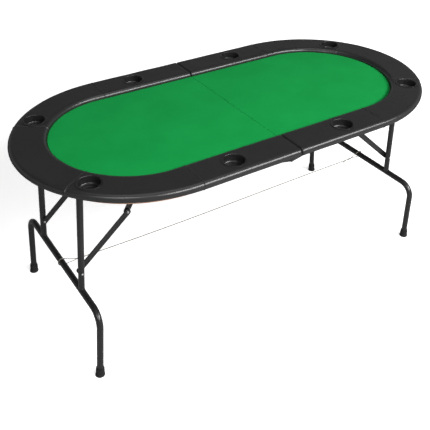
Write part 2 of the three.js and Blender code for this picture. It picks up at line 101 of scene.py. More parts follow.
LEG_PIVOT = Vector(JOINTS["right_leg_fold"]["pos_m"])
FOOT = Vector(MOUNTS["foot_right_rear"]["pos_m"])
SPLAY = math.atan2(FOOT.x - LEG_PIVOT.x, LEG_PIVOT.z)
LEG_LENGTH = LEG_PIVOT.z / math.cos(SPLAY)
CROSSBAR_Z = 290 * MM
CROSSBAR_DROP = (LEG_PIVOT.z - CROSSBAR_Z) / math.cos(SPLAY)
FRAME_RADIUS = 12.5 * MM
UPRIGHT_RADIUS = 11.8 * MM
PIVOT_TUBE_RADIUS = 11 * MM
TUBE_WALL = 1.5 * MM
TUBE_END_LIFT = 7 * MM
BEND_RADIUS = 58 * MM
UPRIGHT_Y = 188 * MM
PIVOT_TUBE_HALF = box_of("right_pivot_tube")[1].y
BRACE_PIVOT = Vector(JOINTS["right_rear_brace_turn"]["pos_m"])
LINK_PIVOT = Vector(JOINTS["right_rear_link_turn"]["pos_m"])
_, _, ELBOW = box_of("right_rear_elbow_rivet")
BRACE_LOW, BRACE_HIGH, _ = box_of("right_rear_lower_brace")
LINK_LOW, LINK_HIGH, _ = box_of("right_rear_upper_link")
BRACE_WIDTH = 23 * MM
RIVET_RADIUS = 4.75 * MM
RIVET_HEAD = 2.2 * MM
SHANK_RADIUS = 3 * MM
HEAD_LAP = 0.5 * MM
PIN_HOLE_RADIUS = 3.5 * MM
HINGE_AXIS = Vector(JOINTS["center_fold"]["pos_m"])


# ---------- node helpers for the materials ----------

class Nodes:
    """A small builder for one node material."""

    def __init__(self, name):
        self.material = bpy.data.materials.new(name)
        self.material.use_nodes = True
        self.tree = self.material.node_tree
        self.shader = self.tree.nodes["Principled BSDF"]
        self.coords = self.tree.nodes.new("ShaderNodeTexCoord")

    def link(self, source, target):
        self.tree.links.new(source, target)

    def set(self, **values):
        for key, value in values.items():
            self.shader.inputs[key.replace("_", " ")].default_value = value

    def mapped(self, scale, source="Object"):
        mapping = self.tree.nodes.new("ShaderNodeMapping")
        mapping.inputs["Scale"].default_value = scale
        self.link(self.coords.outputs[source], mapping.inputs["Vector"])
        return mapping.outputs["Vector"]

    def noise(self, scale, detail=3.0, roughness=0.55, vector=None, distortion=0.0):
        node = self.tree.nodes.new("ShaderNodeTexNoise")
        node.inputs["Scale"].default_value = scale
        node.inputs["Detail"].default_value = detail
        node.inputs["Roughness"].default_value = roughness
        node.inputs["Distortion"].default_value = distortion
        self.link(vector or self.coords.outputs["Object"], node.inputs["Vector"])
        return node.outputs["Fac"]

    def cells(self, scale):
        node = self.tree.nodes.new("ShaderNodeTexVoronoi")
        node.feature = "SMOOTH_F1"
        node.inputs["Scale"].default_value = scale
        self.link(self.coords.outputs["Object"], node.inputs["Vector"])
        return node.outputs["Distance"]

    def ramp(self, factor, *stops):
        node = self.tree.nodes.new("ShaderNodeValToRGB")
        elements = node.color_ramp.elements
        while len(elements) < len(stops):
            elements.new(0.5)
        for element, (position, value) in zip(elements, stops):
            element.position = position
            colour = value if isinstance(value, tuple) else (value,) * 3
            element.color = (*colour, 1)
        self.link(factor, node.inputs["Fac"])
        return node.outputs["Color"]

    def math(self, operation, a, b):
        node = self.tree.nodes.new("ShaderNodeMath")
        node.operation = operation
        for socket, value in zip(node.inputs, (a, b)):
            if isinstance(value, (int, float)):
                socket.default_value = value
            else:
                self.link(value, socket)
        return node.outputs["Value"]

    def mix(self, factor, a, b, blend="MIX"):
        node = self.tree.nodes.new("ShaderNodeMix")
        node.data_type = "RGBA"
        node.blend_type = blend
        for socket, value in zip((node.inputs[0], node.inputs[6], node.inputs[7]), (factor, a, b)):
            if isinstance(value, (int, float)):
                socket.default_value = value
            elif isinstance(value, tuple):
                socket.default_value = (*value, 1)
            else:
                self.link(value, socket)
        return node.outputs[2]

    def between(self, factor, low, high, start=0.3, end=0.7):
        """Goes from colour low to colour high while the factor goes from start to end."""
        return self.mix(self.ramp(factor, (start, 0.0), (end, 1.0)), low, high)

    def bump(self, *layers):
        """Chains (height, strength, distance in metres) layers into the shader's normal."""
        normal = None
        for height, strength, distance in layers:
            node = self.tree.nodes.new("ShaderNodeBump")
            node.inputs["Strength"].default_value = strength
            node.inputs["Distance"].default_value = distance
            self.link(height, node.inputs["Height"])
            if normal:
                self.link(normal, node.inputs["Normal"])
            normal = node.outputs["Normal"]
        self.link(normal, self.shader.inputs["Normal"])

    def finish(self, colour=None, roughness=None):
        if colour is not None:
            self.link(colour, self.shader.inputs["Base Color"])
        if roughness is not None:
            self.link(roughness, self.shader.inputs["Roughness"])
        return self.material


def leather_material():
    n = Nodes("black_leather")
    grain = n.cells(620)
    creases = n.noise(95, 5, 0.62, distortion=0.6)
    colour = n.between(n.noise(5, 4), (0.0115, 0.0115, 0.0122), (0.0150, 0.0149, 0.0153), 0.3, 0.75)
    # painted highlight: a lighter colour on the raised ridges of the grain relief
    painted_ridge_highlight = n.mix(0.3, colour, (0.030, 0.030, 0.031))
    facing = n.tree.nodes.new("ShaderNodeLayerWeight")
    facing.inputs["Blend"].default_value = 0.5
    shine = n.ramp(facing.outputs["Facing"], (0.42, 0.5), (0.72, 0.02))
    n.link(shine, n.shader.inputs["Specular IOR Level"])
    n.bump((n.noise(16, 2), 0.12, 0.8 * MM), (creases, 0.14, 0.25 * MM), (grain, 0.3, 0.2 * MM))
    roughness = n.ramp(n.noise(38, 4), (0.3, 0.27), (0.7, 0.33))
    # the colour turns to the painted highlight where the grain relief stands high
    return n.finish(n.between(grain, colour, painted_ridge_highlight, 0.0, 0.55), roughness)


def felt_material():
    n = Nodes("green_felt")
    fibres = n.noise(1500, 4, 0.7, vector=n.mapped((1, 0.55, 1)))
    nap = n.noise(420, 3, 0.6)
    colour = n.between(n.noise(7, 4), (0.0041, 0.258, 0.049), (0.0058, 0.292, 0.058))
    # deep: painted shade, a darker green where the fibre relief is low
    deep = n.mix(0.16, colour, (0.002, 0.12, 0.022))
    n.set(Specular_IOR_Level=0.06, Sheen_Weight=0.04, Sheen_Roughness=0.4, Roughness=1.0)
    n.shader.inputs["Sheen Tint"].default_value = (0.45, 0.9, 0.55, 1)
    n.bump((nap, 0.25, 0.3 * MM), (fibres, 0.5, 0.25 * MM))
    # blends from the painted shade in the low places of the fibre relief to the felt's own colour
    return n.finish(n.between(fibres, deep, colour, 0.32, 0.68))


def wood_material():
    n = Nodes("pale_wood")
    along = n.mapped((1.3, 34, 1), "UV")
    grain = n.noise(9, 6, 0.62, vector=along, distortion=0.8)
    pores = n.noise(60, 3, 0.7, vector=along)
    dark, middle, pale = (0.50, 0.262, 0.158), (0.62, 0.36, 0.245), (0.72, 0.46, 0.335)
    colour = n.ramp(grain, (0.25, dark), (0.5, middle), (0.78, pale))
    colour = n.mix(n.ramp(pores, (0.30, 0.35), (0.45, 0.0)), colour, (0.36, 0.17, 0.095))
    n.set(Specular_IOR_Level=0.35)
    n.bump((grain, 0.18, 0.3 * MM), (pores, 0.22, 0.15 * MM))
    return n.finish(colour, n.ramp(grain, (0.3, 0.5), (0.7, 0.62)))


def board_material():
    n = Nodes("fibreboard")
    fibres = n.noise(520, 5, 0.75)
    colour = n.between(n.noise(11, 4), (0.215, 0.128, 0.071), (0.27, 0.168, 0.096))
    # deep: painted shade, a darker brown where the fibre relief is low
    deep = n.mix(0.5, colour, (0.10, 0.052, 0.026))
    n.bump((fibres, 0.35, 0.2 * MM),)
    # blends from the painted shade in the low places of the fibre relief to the board's own colour
    return n.finish(n.between(fibres, deep, colour, 0.35, 0.62), n.ramp(fibres, (0.3, 0.86), (0.7, 0.72)))


def plastic_material():
    n = Nodes("moulded_plastic")
    flow = n.noise(30, 3)
    n.bump((n.cells(1500), 0.28, 0.08 * MM),)
    colour = n.between(flow, (0.0085, 0.0087, 0.0092), (0.0125, 0.0125, 0.0130))
    return n.finish(colour, n.ramp(flow, (0.3, 0.27), (0.7, 0.37)))


def coated_steel_material():
    n = Nodes("black_powder_coat")
    drift = n.noise(14, 3)
    scuff = n.noise(75, 6, 0.78, distortion=0.4)
    colour = n.between(drift, (0.0085, 0.0085, 0.0092), (0.0125, 0.0123, 0.0128))
    colour = n.mix(n.ramp(scuff, (0.70, 0.0), (0.82, 0.2)), colour, (0.07, 0.07, 0.074))
    n.set(Metallic=0.0, Specular_IOR_Level=0.55)
    n.bump((n.noise(640, 2, 0.5), 0.25, 0.12 * MM),)
    return n.finish(colour, n.ramp(drift, (0.3, 0.25), (0.7, 0.33)))


def bright_steel_material():
    n = Nodes("zinc_steel")
    brushed = n.noise(260, 4, 0.7, vector=n.mapped((1, 1, 9)))
    colour = n.between(n.cells(170), (0.46, 0.47, 0.485), (0.62, 0.63, 0.64), 0.1, 0.7)
    n.set(Metallic=1.0)
    n.bump((brushed, 0.22, 0.06 * MM),)
    return n.finish(colour, n.ramp(brushed, (0.3, 0.24), (0.7, 0.4)))


def rubber_material():
    n = Nodes("black_rubber")
    dust = n.noise(40, 5, 0.7)
    colour = n.mix(n.ramp(dust, (0.5, 0.0), (0.8, 0.5)), (0.010, 0.010, 0.0105), (0.030, 0.029, 0.028))
    n.set(Specular_IOR_Level=0.35)
    n.bump((n.noise(900, 3, 0.6), 0.3, 0.12 * MM),)
    return n.finish(colour, n.ramp(dust, (0.3, 0.58), (0.7, 0.74)))


def cord_material():
    n = Nodes("grey_beige_cable")
    fibres = n.noise(2400, 4, 0.75)
    colour = n.between(n.noise(24, 4), (0.255, 0.24, 0.205), (0.35, 0.335, 0.295))
    # deep: painted shade, a darker grey where the fibre relief is low
    deep = n.mix(0.4, colour, (0.13, 0.12, 0.10))
    n.set(Metallic=0.4)
    n.bump((fibres, 0.5, 0.15 * MM),)
    # blends from the painted shade in the low places of the fibre relief to the cable's own colour
    return n.finish(n.between(fibres, deep, colour, 0.35, 0.6), n.ramp(fibres, (0.3, 0.5), (0.7, 0.4)))


def thread_material():
    n = Nodes("black_thread")
    fibres = n.noise(3200, 3, 0.7)
    n.set(Sheen_Weight=0.2)
    n.bump((fibres, 0.5, 0.08 * MM),)
    # the colour is darker where the fibre relief is low: painted shade between the fibres
    return n.finish(n.ramp(fibres, (0.3, 0.012), (0.7, 0.030)), n.ramp(fibres, (0.3, 0.6), (0.7, 0.75)))


LOOKS = {
    "leather": (leather_material(), "rail_leather"),
    "felt": (felt_material(), "felt"),
    "wood": (wood_material(), "skirt_wood"),
    "board": (board_material(), "board"),
    "plastic": (plastic_material(), "cup_plastic"),
    "coated": (coated_steel_material(), "painted_steel"),
    "bright": (bright_steel_material(), "bright_steel"),
    "rubber": (rubber_material(), "foot_rubber"),
    "cord": (cord_material(), "cord"),
    "thread": (thread_material(), "rail_leather"),
}


# ---------- mesh helpers ----------

SHARP = math.radians(38)


def mesh_of(verts, faces):
    mesh = bpy.data.meshes.new("shape")
    mesh.from_pydata([tuple(v) for v in verts], [], [tuple(f) for f in faces])
    return mesh


def linked(name, data):
    obj = bpy.data.objects.new(name, data)
    bpy.context.scene.collection.objects.link(obj)
    return obj


def piece(name, part, look, body, sharp=SHARP, uv=None, nodes=()):
    """A piece from (verts, faces) in the row frame."""
    return dress(name, mesh_of(*part), look, body, sharp, uv, nodes)


def dress(name, mesh, look, body, sharp=SHARP, uv=None, nodes=()):
    """Makes a mesh a piece that rides on a CAD body, if one is given, and may stand for CAD nodes."""
    mesh.name = name
    mesh.shade_smooth()
    mesh.set_sharp_from_angle(angle=sharp)
    if uv is not None:
        layer = mesh.uv_layers.new(name="UVMap")
        corner = np.zeros(len(mesh.loops), np.int32)
        mesh.loops.foreach_get("vertex_index", corner)
        layer.data.foreach_set("uv", np.asarray(uv, np.float32)[corner].ravel())
    obj = linked(name, mesh)
    material, slot = LOOKS[look]
    mesh.materials.clear()
    mesh.materials.append(material)
    if body:
        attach(obj, body)
    if nodes:
        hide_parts(*nodes)
    return obj


def merged(parts):
    """Several (verts, faces) solids as one pair of lists."""
    verts, faces = [], []
    for part_verts, part_faces in parts:
        start = len(verts)
        verts.extend(part_verts)
        faces.extend([[start + i for i in face] for face in part_faces])
    return verts, faces


def moved(part, matrix):
    verts, faces = part
    placed = [matrix @ Vector(v) for v in verts]
    if matrix.determinant() < 0:
        faces = [list(reversed(face)) for face in faces]
    return placed, faces


def lathe(profile, segments=48):
    """A closed solid of revolution about Z. The profile is (radius, z) points from axis to axis."""
    verts, faces, rings = [], [], []
    for radius, z in profile:
        if radius < 1e-7:
            rings.append([len(verts)])
            verts.append(Vector((0, 0, z)))
            continue
        rings.append(list(range(len(verts), len(verts) + segments)))
        verts.extend(Vector((x, y, z)) for x, y in circle(radius, segments))
    for low, high in zip(rings, rings[1:]):
        for k in range(segments):
            m = (k + 1) % segments
            quad = [low[k % len(low)], low[m % len(low)], high[m % len(high)], high[k % len(high)]]
            face = [v for i, v in enumerate(quad) if v not in quad[:i]]
            if len(face) > 2:
                faces.append(face)
    return verts, faces


def rounded(profile, radius, steps=3):
    """Rounds each inner corner of a (radius, z) profile with a short curve."""
    points = [Vector(p) for p in profile]
    out = [points[0]]
    for before, corner, after in zip(points, points[1:], points[2:]):
        reach = min(radius, (before - corner).length * 0.45, (after - corner).length * 0.45)
        start = corner + (before - corner).normalized() * reach
        end = corner + (after - corner).normalized() * reach
        for k in range(steps + 1):
            t = k / steps
            out.append(start * (1 - t) ** 2 + corner * 2 * t * (1 - t) + end * t * t)
    out.append(points[-1])
    return [(p.x, p.y) for p in out]


def band_faces(rings, around, closed=False):
    """Quads between rings of points that follow one another. Closed joins the last to the first."""
    faces = []
    for i in range(rings if closed else rings - 1):
        low, high = i * around, (i + 1) % rings * around
        for k in range(around):
            m = (k + 1) % around
            faces.append([low + k, low + m, high + m, high + k])
    return faces


def tube_faces(rings, around):
    """Band faces, and one face over each end."""
    first = list(reversed(range(around)))
    last = list(range((rings - 1) * around, rings * around))
    return [*band_faces(rings, around), first, last]


def neighbours(points, i):
    return points[max(i - 1, 0)], points[min(i + 1, len(points) - 1)]


def sweep(path, section):
    """Carries a closed section of (side, up) points along a path without twist; ends are capped."""
    side = (path[1] - path[0]).normalized().orthogonal().normalized()
    verts = []
    for i, point in enumerate(path):
        before, after = neighbours(path, i)
        tangent = (after - before).normalized()
        side = (side - tangent * side.dot(tangent)).normalized()
        up = tangent.cross(side)
        verts.extend(point + side * a + up * b for a, b in section)
    return verts, tube_faces(len(path), len(section))


def circle(radius, count):
    turn = 2 * math.pi / count
    return [(radius * math.cos(k * turn), radius * math.sin(k * turn)) for k in range(count)]


def rod(radius, z0, z1, segments=28):
    return lathe([(0, z0), (radius, z0), (radius, z1), (0, z1)], segments)


def tube_ring(profile, segments):
    """A pipe of revolution about Z whose (radius, z) profile closes on itself."""
    verts = [Vector((x, y, z)) for radius, z in profile for x, y in circle(radius, segments)]
    return verts, band_faces(len(profile), segments, closed=True)


def cleaned(mesh, distance=0.001 * MM):
    """Joins points that all but coincide, drops slivers and turns the faces outwards."""
    work = bmesh.new()
    work.from_mesh(mesh)
    bmesh.ops.remove_doubles(work, verts=work.verts, dist=distance)
    bmesh.ops.dissolve_degenerate(work, edges=work.edges, dist=0.1 * distance)
    bmesh.ops.recalc_face_normals(work, faces=work.faces)
    work.to_mesh(mesh)
    work.free()
    return mesh


def plate(outlines, thickness, bevel):
    """A flat plate with eased edges in the XY plane, centred on z = 0. The first outline is the
    rim and any others are holes. Returned as a mesh."""
    curve = bpy.data.curves.new("plate", "CURVE")
    curve.dimensions = "2D"
    curve.fill_mode = "BOTH"
    curve.extrude = thickness / 2 - bevel
    curve.bevel_depth = bevel
    curve.bevel_resolution = 2
    curve.offset = -bevel
    for outline in outlines:
        spline = curve.splines.new("POLY")
        spline.points.add(len(outline) - 1)
        spline.points.foreach_set("co", [c for x, y in outline for c in (x, y, 0, 1)])
        spline.use_cyclic_u = True
    holder = bpy.data.objects.new("plate", curve)
    mesh = bpy.data.meshes.new_from_object(holder)
    bpy.data.objects.remove(holder)
    bpy.data.curves.remove(curve)
    return cleaned(mesh)


def turn_half(half):
    """The left half is the right half turned half a turn about Z."""
    return Matrix.Rotation(math.pi if half == "left" else 0, 4, "Z")


def leg_matrix(half):
    tilt = Matrix.Rotation(-SPLAY, 4, "Y")
    return turn_half(half) @ Matrix.Translation(LEG_PIVOT) @ tilt


def along_y(point, sign):
    """Lays a solid drawn along +Z so that it points away from the middle of the table."""
    return Matrix.Translation(point) @ Matrix.Rotation(-sign * math.pi / 2, 4, "X")


def side_sign(half, end):
    """The side of the right-hand drawing that a piece comes from."""
    return ENDS[end] * HALVES[half]


# ---------- plan of one half ----------

def outer_y(x, inset=0.0):
    if x <= OUTER_CENTRE_X:
        return HALF_WIDTH - inset
    share = (x - OUTER_CENTRE_X) / (OUTER_AXIS_X - inset)
    return (HALF_WIDTH - inset) * math.sqrt(max(0, 1 - share * share))


def outer_outline(inset, start_x, spacing=8 * MM):
    a, b = OUTER_AXIS_X - inset, HALF_WIDTH - inset
    steps = round(math.pi * b / spacing)
    turns = np.linspace(-math.pi / 2, math.pi / 2, steps + 1)
    end = [(OUTER_CENTRE_X + a * math.cos(t), b * math.sin(t)) for t in turns]
    return [(start_x, -b), *end, (start_x, b)]


def ray_width(angle):
    """Rail width along a ray from the inner arc's centre."""
    c, s = math.cos(angle), math.sin(angle)
    offset = INNER_CENTRE_X - OUTER_CENTRE_X
    qa = (c / OUTER_AXIS_X) ** 2 + (s / HALF_WIDTH) ** 2
    qb = 2 * offset * c / OUTER_AXIS_X ** 2
    qc = (offset / OUTER_AXIS_X) ** 2 - 1
    reach = (-qb + math.sqrt(qb * qb - 4 * qa * qc)) / (2 * qa)
    return reach - INNER_RADIUS


# ---------- rail pad: leather pulled over foam, sewn from five panels ----------

SEAM_ANGLE = math.radians(33.7)
SEAM_X = OUTER_CENTRE_X
SEAM_COLUMNS = (-7, -4.5, -2.6, -1.6, -0.8, 0, 0.8, 1.6, 2.6, 4.5, 7)
SEAM_CLEARANCE = 8.5 * MM
COLUMN_SPACING = 4.5 * MM
LIP_HEIGHT = 5 * MM
TUCK_HEIGHT = 2.2 * MM
TUCK_ANGLE = math.radians(80)
MID_RADIUS = INNER_RADIUS + 0.07
FRONT_RUN = INNER_CENTRE_X - FOLD_X
ARC_RUN = math.pi * MID_RADIUS
PATH_LENGTH = 2 * FRONT_RUN + ARC_RUN


def seam_stations():
    on_arc = [FRONT_RUN + (math.pi / 2 + s * SEAM_ANGLE) * MID_RADIUS for s in (-1, 1)]
    straight = SEAM_X - FOLD_X
    return [straight, *on_arc, PATH_LENGTH - straight]


def path_stations():
    """Places along the rail, closer together at the seams and at the rounded fold ends."""
    fixed = [s + d * MM for s in seam_stations() for d in SEAM_COLUMNS]
    even = np.linspace(FOLD_ROUND, PATH_LENGTH - FOLD_ROUND, round(PATH_LENGTH / COLUMN_SPACING))
    clear = [s for s in even if all(abs(s - t) > SEAM_CLEARANCE for t in seam_stations())]
    return sorted(fixed + clear)


def station_frame(s):
    """Inner edge point, outward direction and rail width at a place along the rail."""
    if s < FRONT_RUN:
        x = FOLD_X + s
        return Vector((x, -INNER_RADIUS)), Vector((0, -1)), outer_y(x) - INNER_RADIUS
    if s > FRONT_RUN + ARC_RUN:
        x = FOLD_X + PATH_LENGTH - s
        return Vector((x, INNER_RADIUS)), Vector((0, 1)), outer_y(x) - INNER_RADIUS
    angle = (s - FRONT_RUN) / MID_RADIUS - math.pi / 2
    out = Vector((math.cos(angle), math.sin(angle)))
    return Vector((INNER_CENTRE_X, 0)) + out * INNER_RADIUS, out, ray_width(angle)


def arc_points(centre, start, end, steps):
    turns = np.radians(np.linspace(start, end, steps + 1))
    return [(centre[0] + RAIL_ROUND * math.cos(t), centre[1] + RAIL_ROUND * math.sin(t)) for t in turns]


def rail_section(width):
    """The closed cross-section as (distance outwards from the inner edge, height) points."""
    low = RAIL_BOTTOM + RAIL_ROUND
    high = RAIL_TOP - RAIL_ROUND
    lip = width - BOARD_INSET + GAP
    points = [(lip, RAIL_BOTTOM + LIP_HEIGHT), (lip, RAIL_BOTTOM)]
    under = np.linspace(lip, width - RAIL_ROUND, 5)[1:-1]
    points += [(d, RAIL_BOTTOM) for d in under]
    points += arc_points((width - RAIL_ROUND, low), -90, 0, 7)
    points += arc_points((width - RAIL_ROUND, high), 0, 90, 10)
    points += [(d, RAIL_TOP) for d in np.linspace(width - RAIL_ROUND, RAIL_ROUND, 23)[1:-1]]
    points += arc_points((RAIL_ROUND, high), 90, 180, 10)
    tuck = RAIL_ROUND * (1 - math.sin(TUCK_ANGLE))
    points += [(0, high - TUCK_HEIGHT), (tuck, SEAT_Z)]
    points += [(d, SEAT_Z) for d in np.linspace(tuck, lip, 7)[1:]]
    return np.array(points)


def rail_grid():
    """Vertex grid of the right-hand rail pad: places along the rail by places round the section."""
    ends = []
    for angle in np.radians([0, 25, 50, 75]):
        ends.append((FOLD_ROUND * (1 - math.sin(angle)), FOLD_ROUND * (1 - math.cos(angle))))
    places = ends[::-1] + [(s, 0.0) for s in path_stations()]
    places += [(PATH_LENGTH - s, shrink) for s, shrink in ends]
    rows = []
    for s, shrink in places:
        inner, out, width = station_frame(s)
        section = rail_section(width)
        if shrink:
            section = inset_section(section, width, shrink)
        rows.append([(inner.x + out.x * d, inner.y + out.y * d, z) for d, z in section])
    return np.array(rows), [s for s, _ in places]


def inset_section(section, width, shrink):
    """Pulls a section in by about the same amount all round."""
    low = np.array([0.0, SEAT_Z])
    high = np.array([width, RAIL_TOP])
    middle = (low + high) / 2
    half = (high - low) / 2
    out = middle + (section - middle) * (1 - shrink / half)
    below = section[:, 1] < SEAT_Z - 1e-6
    out[below, 1] = section[below, 1] + shrink * 0.6
    return out


def cup_centres():
    """Cup places of the right half in plan."""
    found = []
    for end in ENDS:
        for place in ("side", "corner"):
            _, _, centre = box_of(f"right_{end}_{place}_cup_holder")
            found.append((centre.x, centre.y))
    return found


def cup_distance(points):
    return np.min([np.hypot(points[:, 0] - x, points[:, 1] - y) for x, y in cup_centres()], axis=0)


CLOTH_FRAMES = 16
CLOTH_SETTINGS = {
    "quality": 5, "mass": 0.25, "tension_stiffness": 12, "compression_stiffness": 12,
    "shear_stiffness": 4, "bending_stiffness": 0.6, "shrink_min": -0.012,
    "vertex_group_mass": "pin", "use_pressure": True, "uniform_pressure_force": 4.0}
PUFF_LIMIT = 4 * MM
PUFF_SPREAD = 3
SEAM_HOLD = 1.2 * MM
HOLD_HEIGHT = 0.5 * MM
END_HOLD = 1.5 * MM
CUP_HOLD = 1 * MM
CUP_DIP = 0.25 * MM
CUP_FLAT = 0.6 * MM
CUP_SLOPE = 0.55


def smoothed_rows(values, columns):
    """Evens values out along the rail, over a few places to each side."""
    grid = values.reshape(-1, columns, 3)
    padded = np.pad(grid, ((PUFF_SPREAD, PUFF_SPREAD), (0, 0), (0, 0)), mode="edge")
    spans = [padded[k:k + len(grid)] for k in range(2 * PUFF_SPREAD + 1)]
    return np.mean(spans, axis=0).reshape(-1, 3)


def puffed(verts, faces, pinned, columns):
    """The leather blown out over its foam by a cloth simulation, held where it is pinned."""
    mesh = mesh_of(verts, faces)
    obj = linked("puff", mesh)
    group = obj.vertex_groups.new(name="pin")
    group.add(np.nonzero(pinned)[0].tolist(), 1.0, "REPLACE")
    cloth = obj.modifiers.new("Cloth", "CLOTH")
    for name, value in CLOTH_SETTINGS.items():
        setattr(cloth.settings, name, value)
    cloth.settings.effector_weights.gravity = 0
    cloth.collision_settings.use_collision = False
    cloth.point_cache.frame_start = 1
    cloth.point_cache.frame_end = CLOTH_FRAMES
    for step in range(1, CLOTH_FRAMES + 1):
        bpy.context.scene.frame_set(step)
    evaluated = obj.evaluated_get(bpy.context.evaluated_depsgraph_get())
    result = np.zeros(len(verts) * 3, np.float32)
    evaluated.data.vertices.foreach_get("co", result)
    bpy.context.scene.frame_set(1)
    bpy.data.objects.remove(obj)
    bpy.data.meshes.remove(mesh)
    shift = smoothed_rows(result.reshape(-1, 3) - verts, columns)
    length = np.maximum(np.linalg.norm(shift, axis=1), 1e-9)
    limit = PUFF_LIMIT * np.tanh(length / PUFF_LIMIT)
    return verts + shift * (limit / length)[:, None]


def smooth_step(low, high, value):
    t = np.clip((value - low) / (high - low), 0, 1)
    return t * t * (3 - 2 * t)


def grid_normals(grid):
    along = np.gradient(grid, axis=0)
    round_it = (np.roll(grid, -1, axis=1) - np.roll(grid, 1, axis=1)) / 2
    normal = np.cross(round_it, along)
    size = np.linalg.norm(normal, axis=2, keepdims=True)
    return normal / np.maximum(size, 1e-12)


SEAM_DEPTH = 1.3 * MM
SEAM_WIDTH = 1.0 * MM
SHOULDER_HEIGHT = 0.15 * MM
SHOULDER_PLACE = 6 * MM
SHOULDER_WIDTH = 4 * MM
SLOW_RELIEF = 0.55 * MM
FINE_RELIEF = 0.16 * MM
GATHER_DEPTH = 0.22 * MM
GATHER_PITCH = 23 * MM
GATHER_START = 60 * MM
GATHER_FULL = 100 * MM


def noise_field(points, scale, seed):
    offset = Vector((seed * 17.3, seed * 5.1, seed * 9.7))
    return np.array([noise.noise(Vector(p) * scale + offset) for p in points])


def rail_relief(grid, stations):
    """Depth of the sewn seams, the gathers and the slow unevenness of hand-pulled leather."""
    rows, columns, _ = grid.shape
    points = grid.reshape(-1, 3)
    z = grid[:, :, 2]
    s = np.array(stations)[:, None]
    relief = np.zeros((rows, columns))
    for place in seam_stations():
        away = np.abs(s - place)
        relief -= SEAM_DEPTH * np.exp(-(away / SEAM_WIDTH) ** 2)
        relief += SHOULDER_HEIGHT * np.exp(-((away - SHOULDER_PLACE) / SHOULDER_WIDTH) ** 2)
    slow = noise_field(points, 11, 1).reshape(rows, columns)
    fine = noise_field(points, 42, 2).reshape(rows, columns)
    relief += SLOW_RELIEF * slow + FINE_RELIEF * fine
    back_run = PATH_LENGTH - FRONT_RUN
    curved = smooth_step(FRONT_RUN - GATHER_START, FRONT_RUN + GATHER_FULL, s)
    curved = curved * smooth_step(back_run + GATHER_START, back_run - GATHER_FULL, s)
    wave = np.sin(s * 2 * math.pi / GATHER_PITCH + 15 * slow) * (0.5 + 0.5 * np.sin(s * 31))
    low_edge = 1 - smooth_step(RAIL_BOTTOM + 2 * MM, RAIL_TOP - 9 * MM, z)
    relief += GATHER_DEPTH * curved * wave * low_edge
    return relief


def rail_verts():
    grid, stations = rail_grid()
    rows, columns, _ = grid.shape
    faces = tube_faces(rows, columns)
    base = grid.reshape(-1, 3)
    normal = grid_normals(grid)
    s = np.repeat(np.array(stations), columns)
    z = base[:, 2]
    near_seam = np.min([np.abs(s - place) for place in seam_stations()], axis=0) < SEAM_HOLD
    seat = (z < SEAT_Z + HOLD_HEIGHT) & (normal.reshape(-1, 3)[:, 2] < -0.3)
    ends = (s < END_HOLD) | (s > PATH_LENGTH - END_HOLD)
    cups = cup_distance(base) < CUP_FLANGE + CUP_HOLD
    pinned = seat | ends | cups | near_seam | (z < RAIL_BOTTOM + HOLD_HEIGHT)
    verts = puffed(base, faces, pinned, columns)
    relief = rail_relief(grid, stations)
    relief[:2] = 0
    relief[-2:] = 0
    held = (seat | ends).reshape(rows, columns)
    relief[held] = 0
    verts = verts + normal.reshape(-1, 3) * relief.reshape(-1, 1)
    away = cup_distance(verts)
    top = verts[:, 2] > RAIL_TOP - PUFF_LIMIT
    seated = RAIL_TOP - CUP_DIP + np.clip(away - CUP_FLANGE - CUP_FLAT, 0, None) * CUP_SLOPE
    verts[top, 2] = np.minimum(verts[top, 2], seated[top])
    return verts, faces


def carved(mesh, cutters):
    """The mesh with closed cutter meshes taken out of it. All the meshes given are used up."""
    obj = linked("uncut", mesh)
    tools = [linked("cutter", solid) for solid in cutters]
    for tool in tools:
        cut = obj.modifiers.new("cut", "BOOLEAN")
        cut.object = tool
        cut.operation = "DIFFERENCE"
        cut.solver = "EXACT"
    evaluated = obj.evaluated_get(bpy.context.evaluated_depsgraph_get())
    result = bpy.data.meshes.new_from_object(evaluated)
    for spent in [obj, *tools]:
        old = spent.data
        bpy.data.objects.remove(spent)
        bpy.data.meshes.remove(old)
    return cleaned(result)


def cut_cups(mesh, radius):
    """Cuts the cup holes through the mesh of a top piece of the right half."""
    part = rod(radius, BOARD_LOW.z - 50 * MM, RAIL_TOP + 50 * MM, 64)
    cutters = [mesh_of(*moved(part, Matrix.Translation((x, y, 0)))) for x, y in cup_centres()]
    return carved(mesh, cutters)


def dress_halves(name, mesh, look, node, sharp=SHARP):
    """The right-hand mesh as a piece on each half."""
    for half in HALVES:
        placed = mesh.copy()
        placed.transform(turn_half(half))
        dress(f"{half}_{name}", placed, look, f"{half}_half", sharp, nodes=[f"{half}_{node}"])


def make_rails():
    mesh = cut_cups(mesh_of(*rail_verts()), CUP_HOLE)
    dress_halves("rail_leather", mesh, "leather", "rail_pad", math.radians(50))


def stitch(length, radius):
    """One thread stitch along X: a short capsule, pressed flat underneath."""
    profile = [(0, -length / 2), (radius * 0.7, -length / 2 * 0.86), (radius, -length / 2 * 0.5),
               (radius, length / 2 * 0.5), (radius * 0.7, length / 2 * 0.86), (0, length / 2)]
    return moved(lathe(profile, 6), Matrix.Rotation(math.pi / 2, 4, "Y") @ Matrix.Diagonal((0.7, 1, 1, 1)))


STITCH_PITCH = 6 * MM
STITCH_LENGTH = 3.8 * MM
STITCH_RADIUS = 0.32 * MM
STITCH_FROM_SEAM = 3.2 * MM
STITCH_RISE = 0.15 * MM


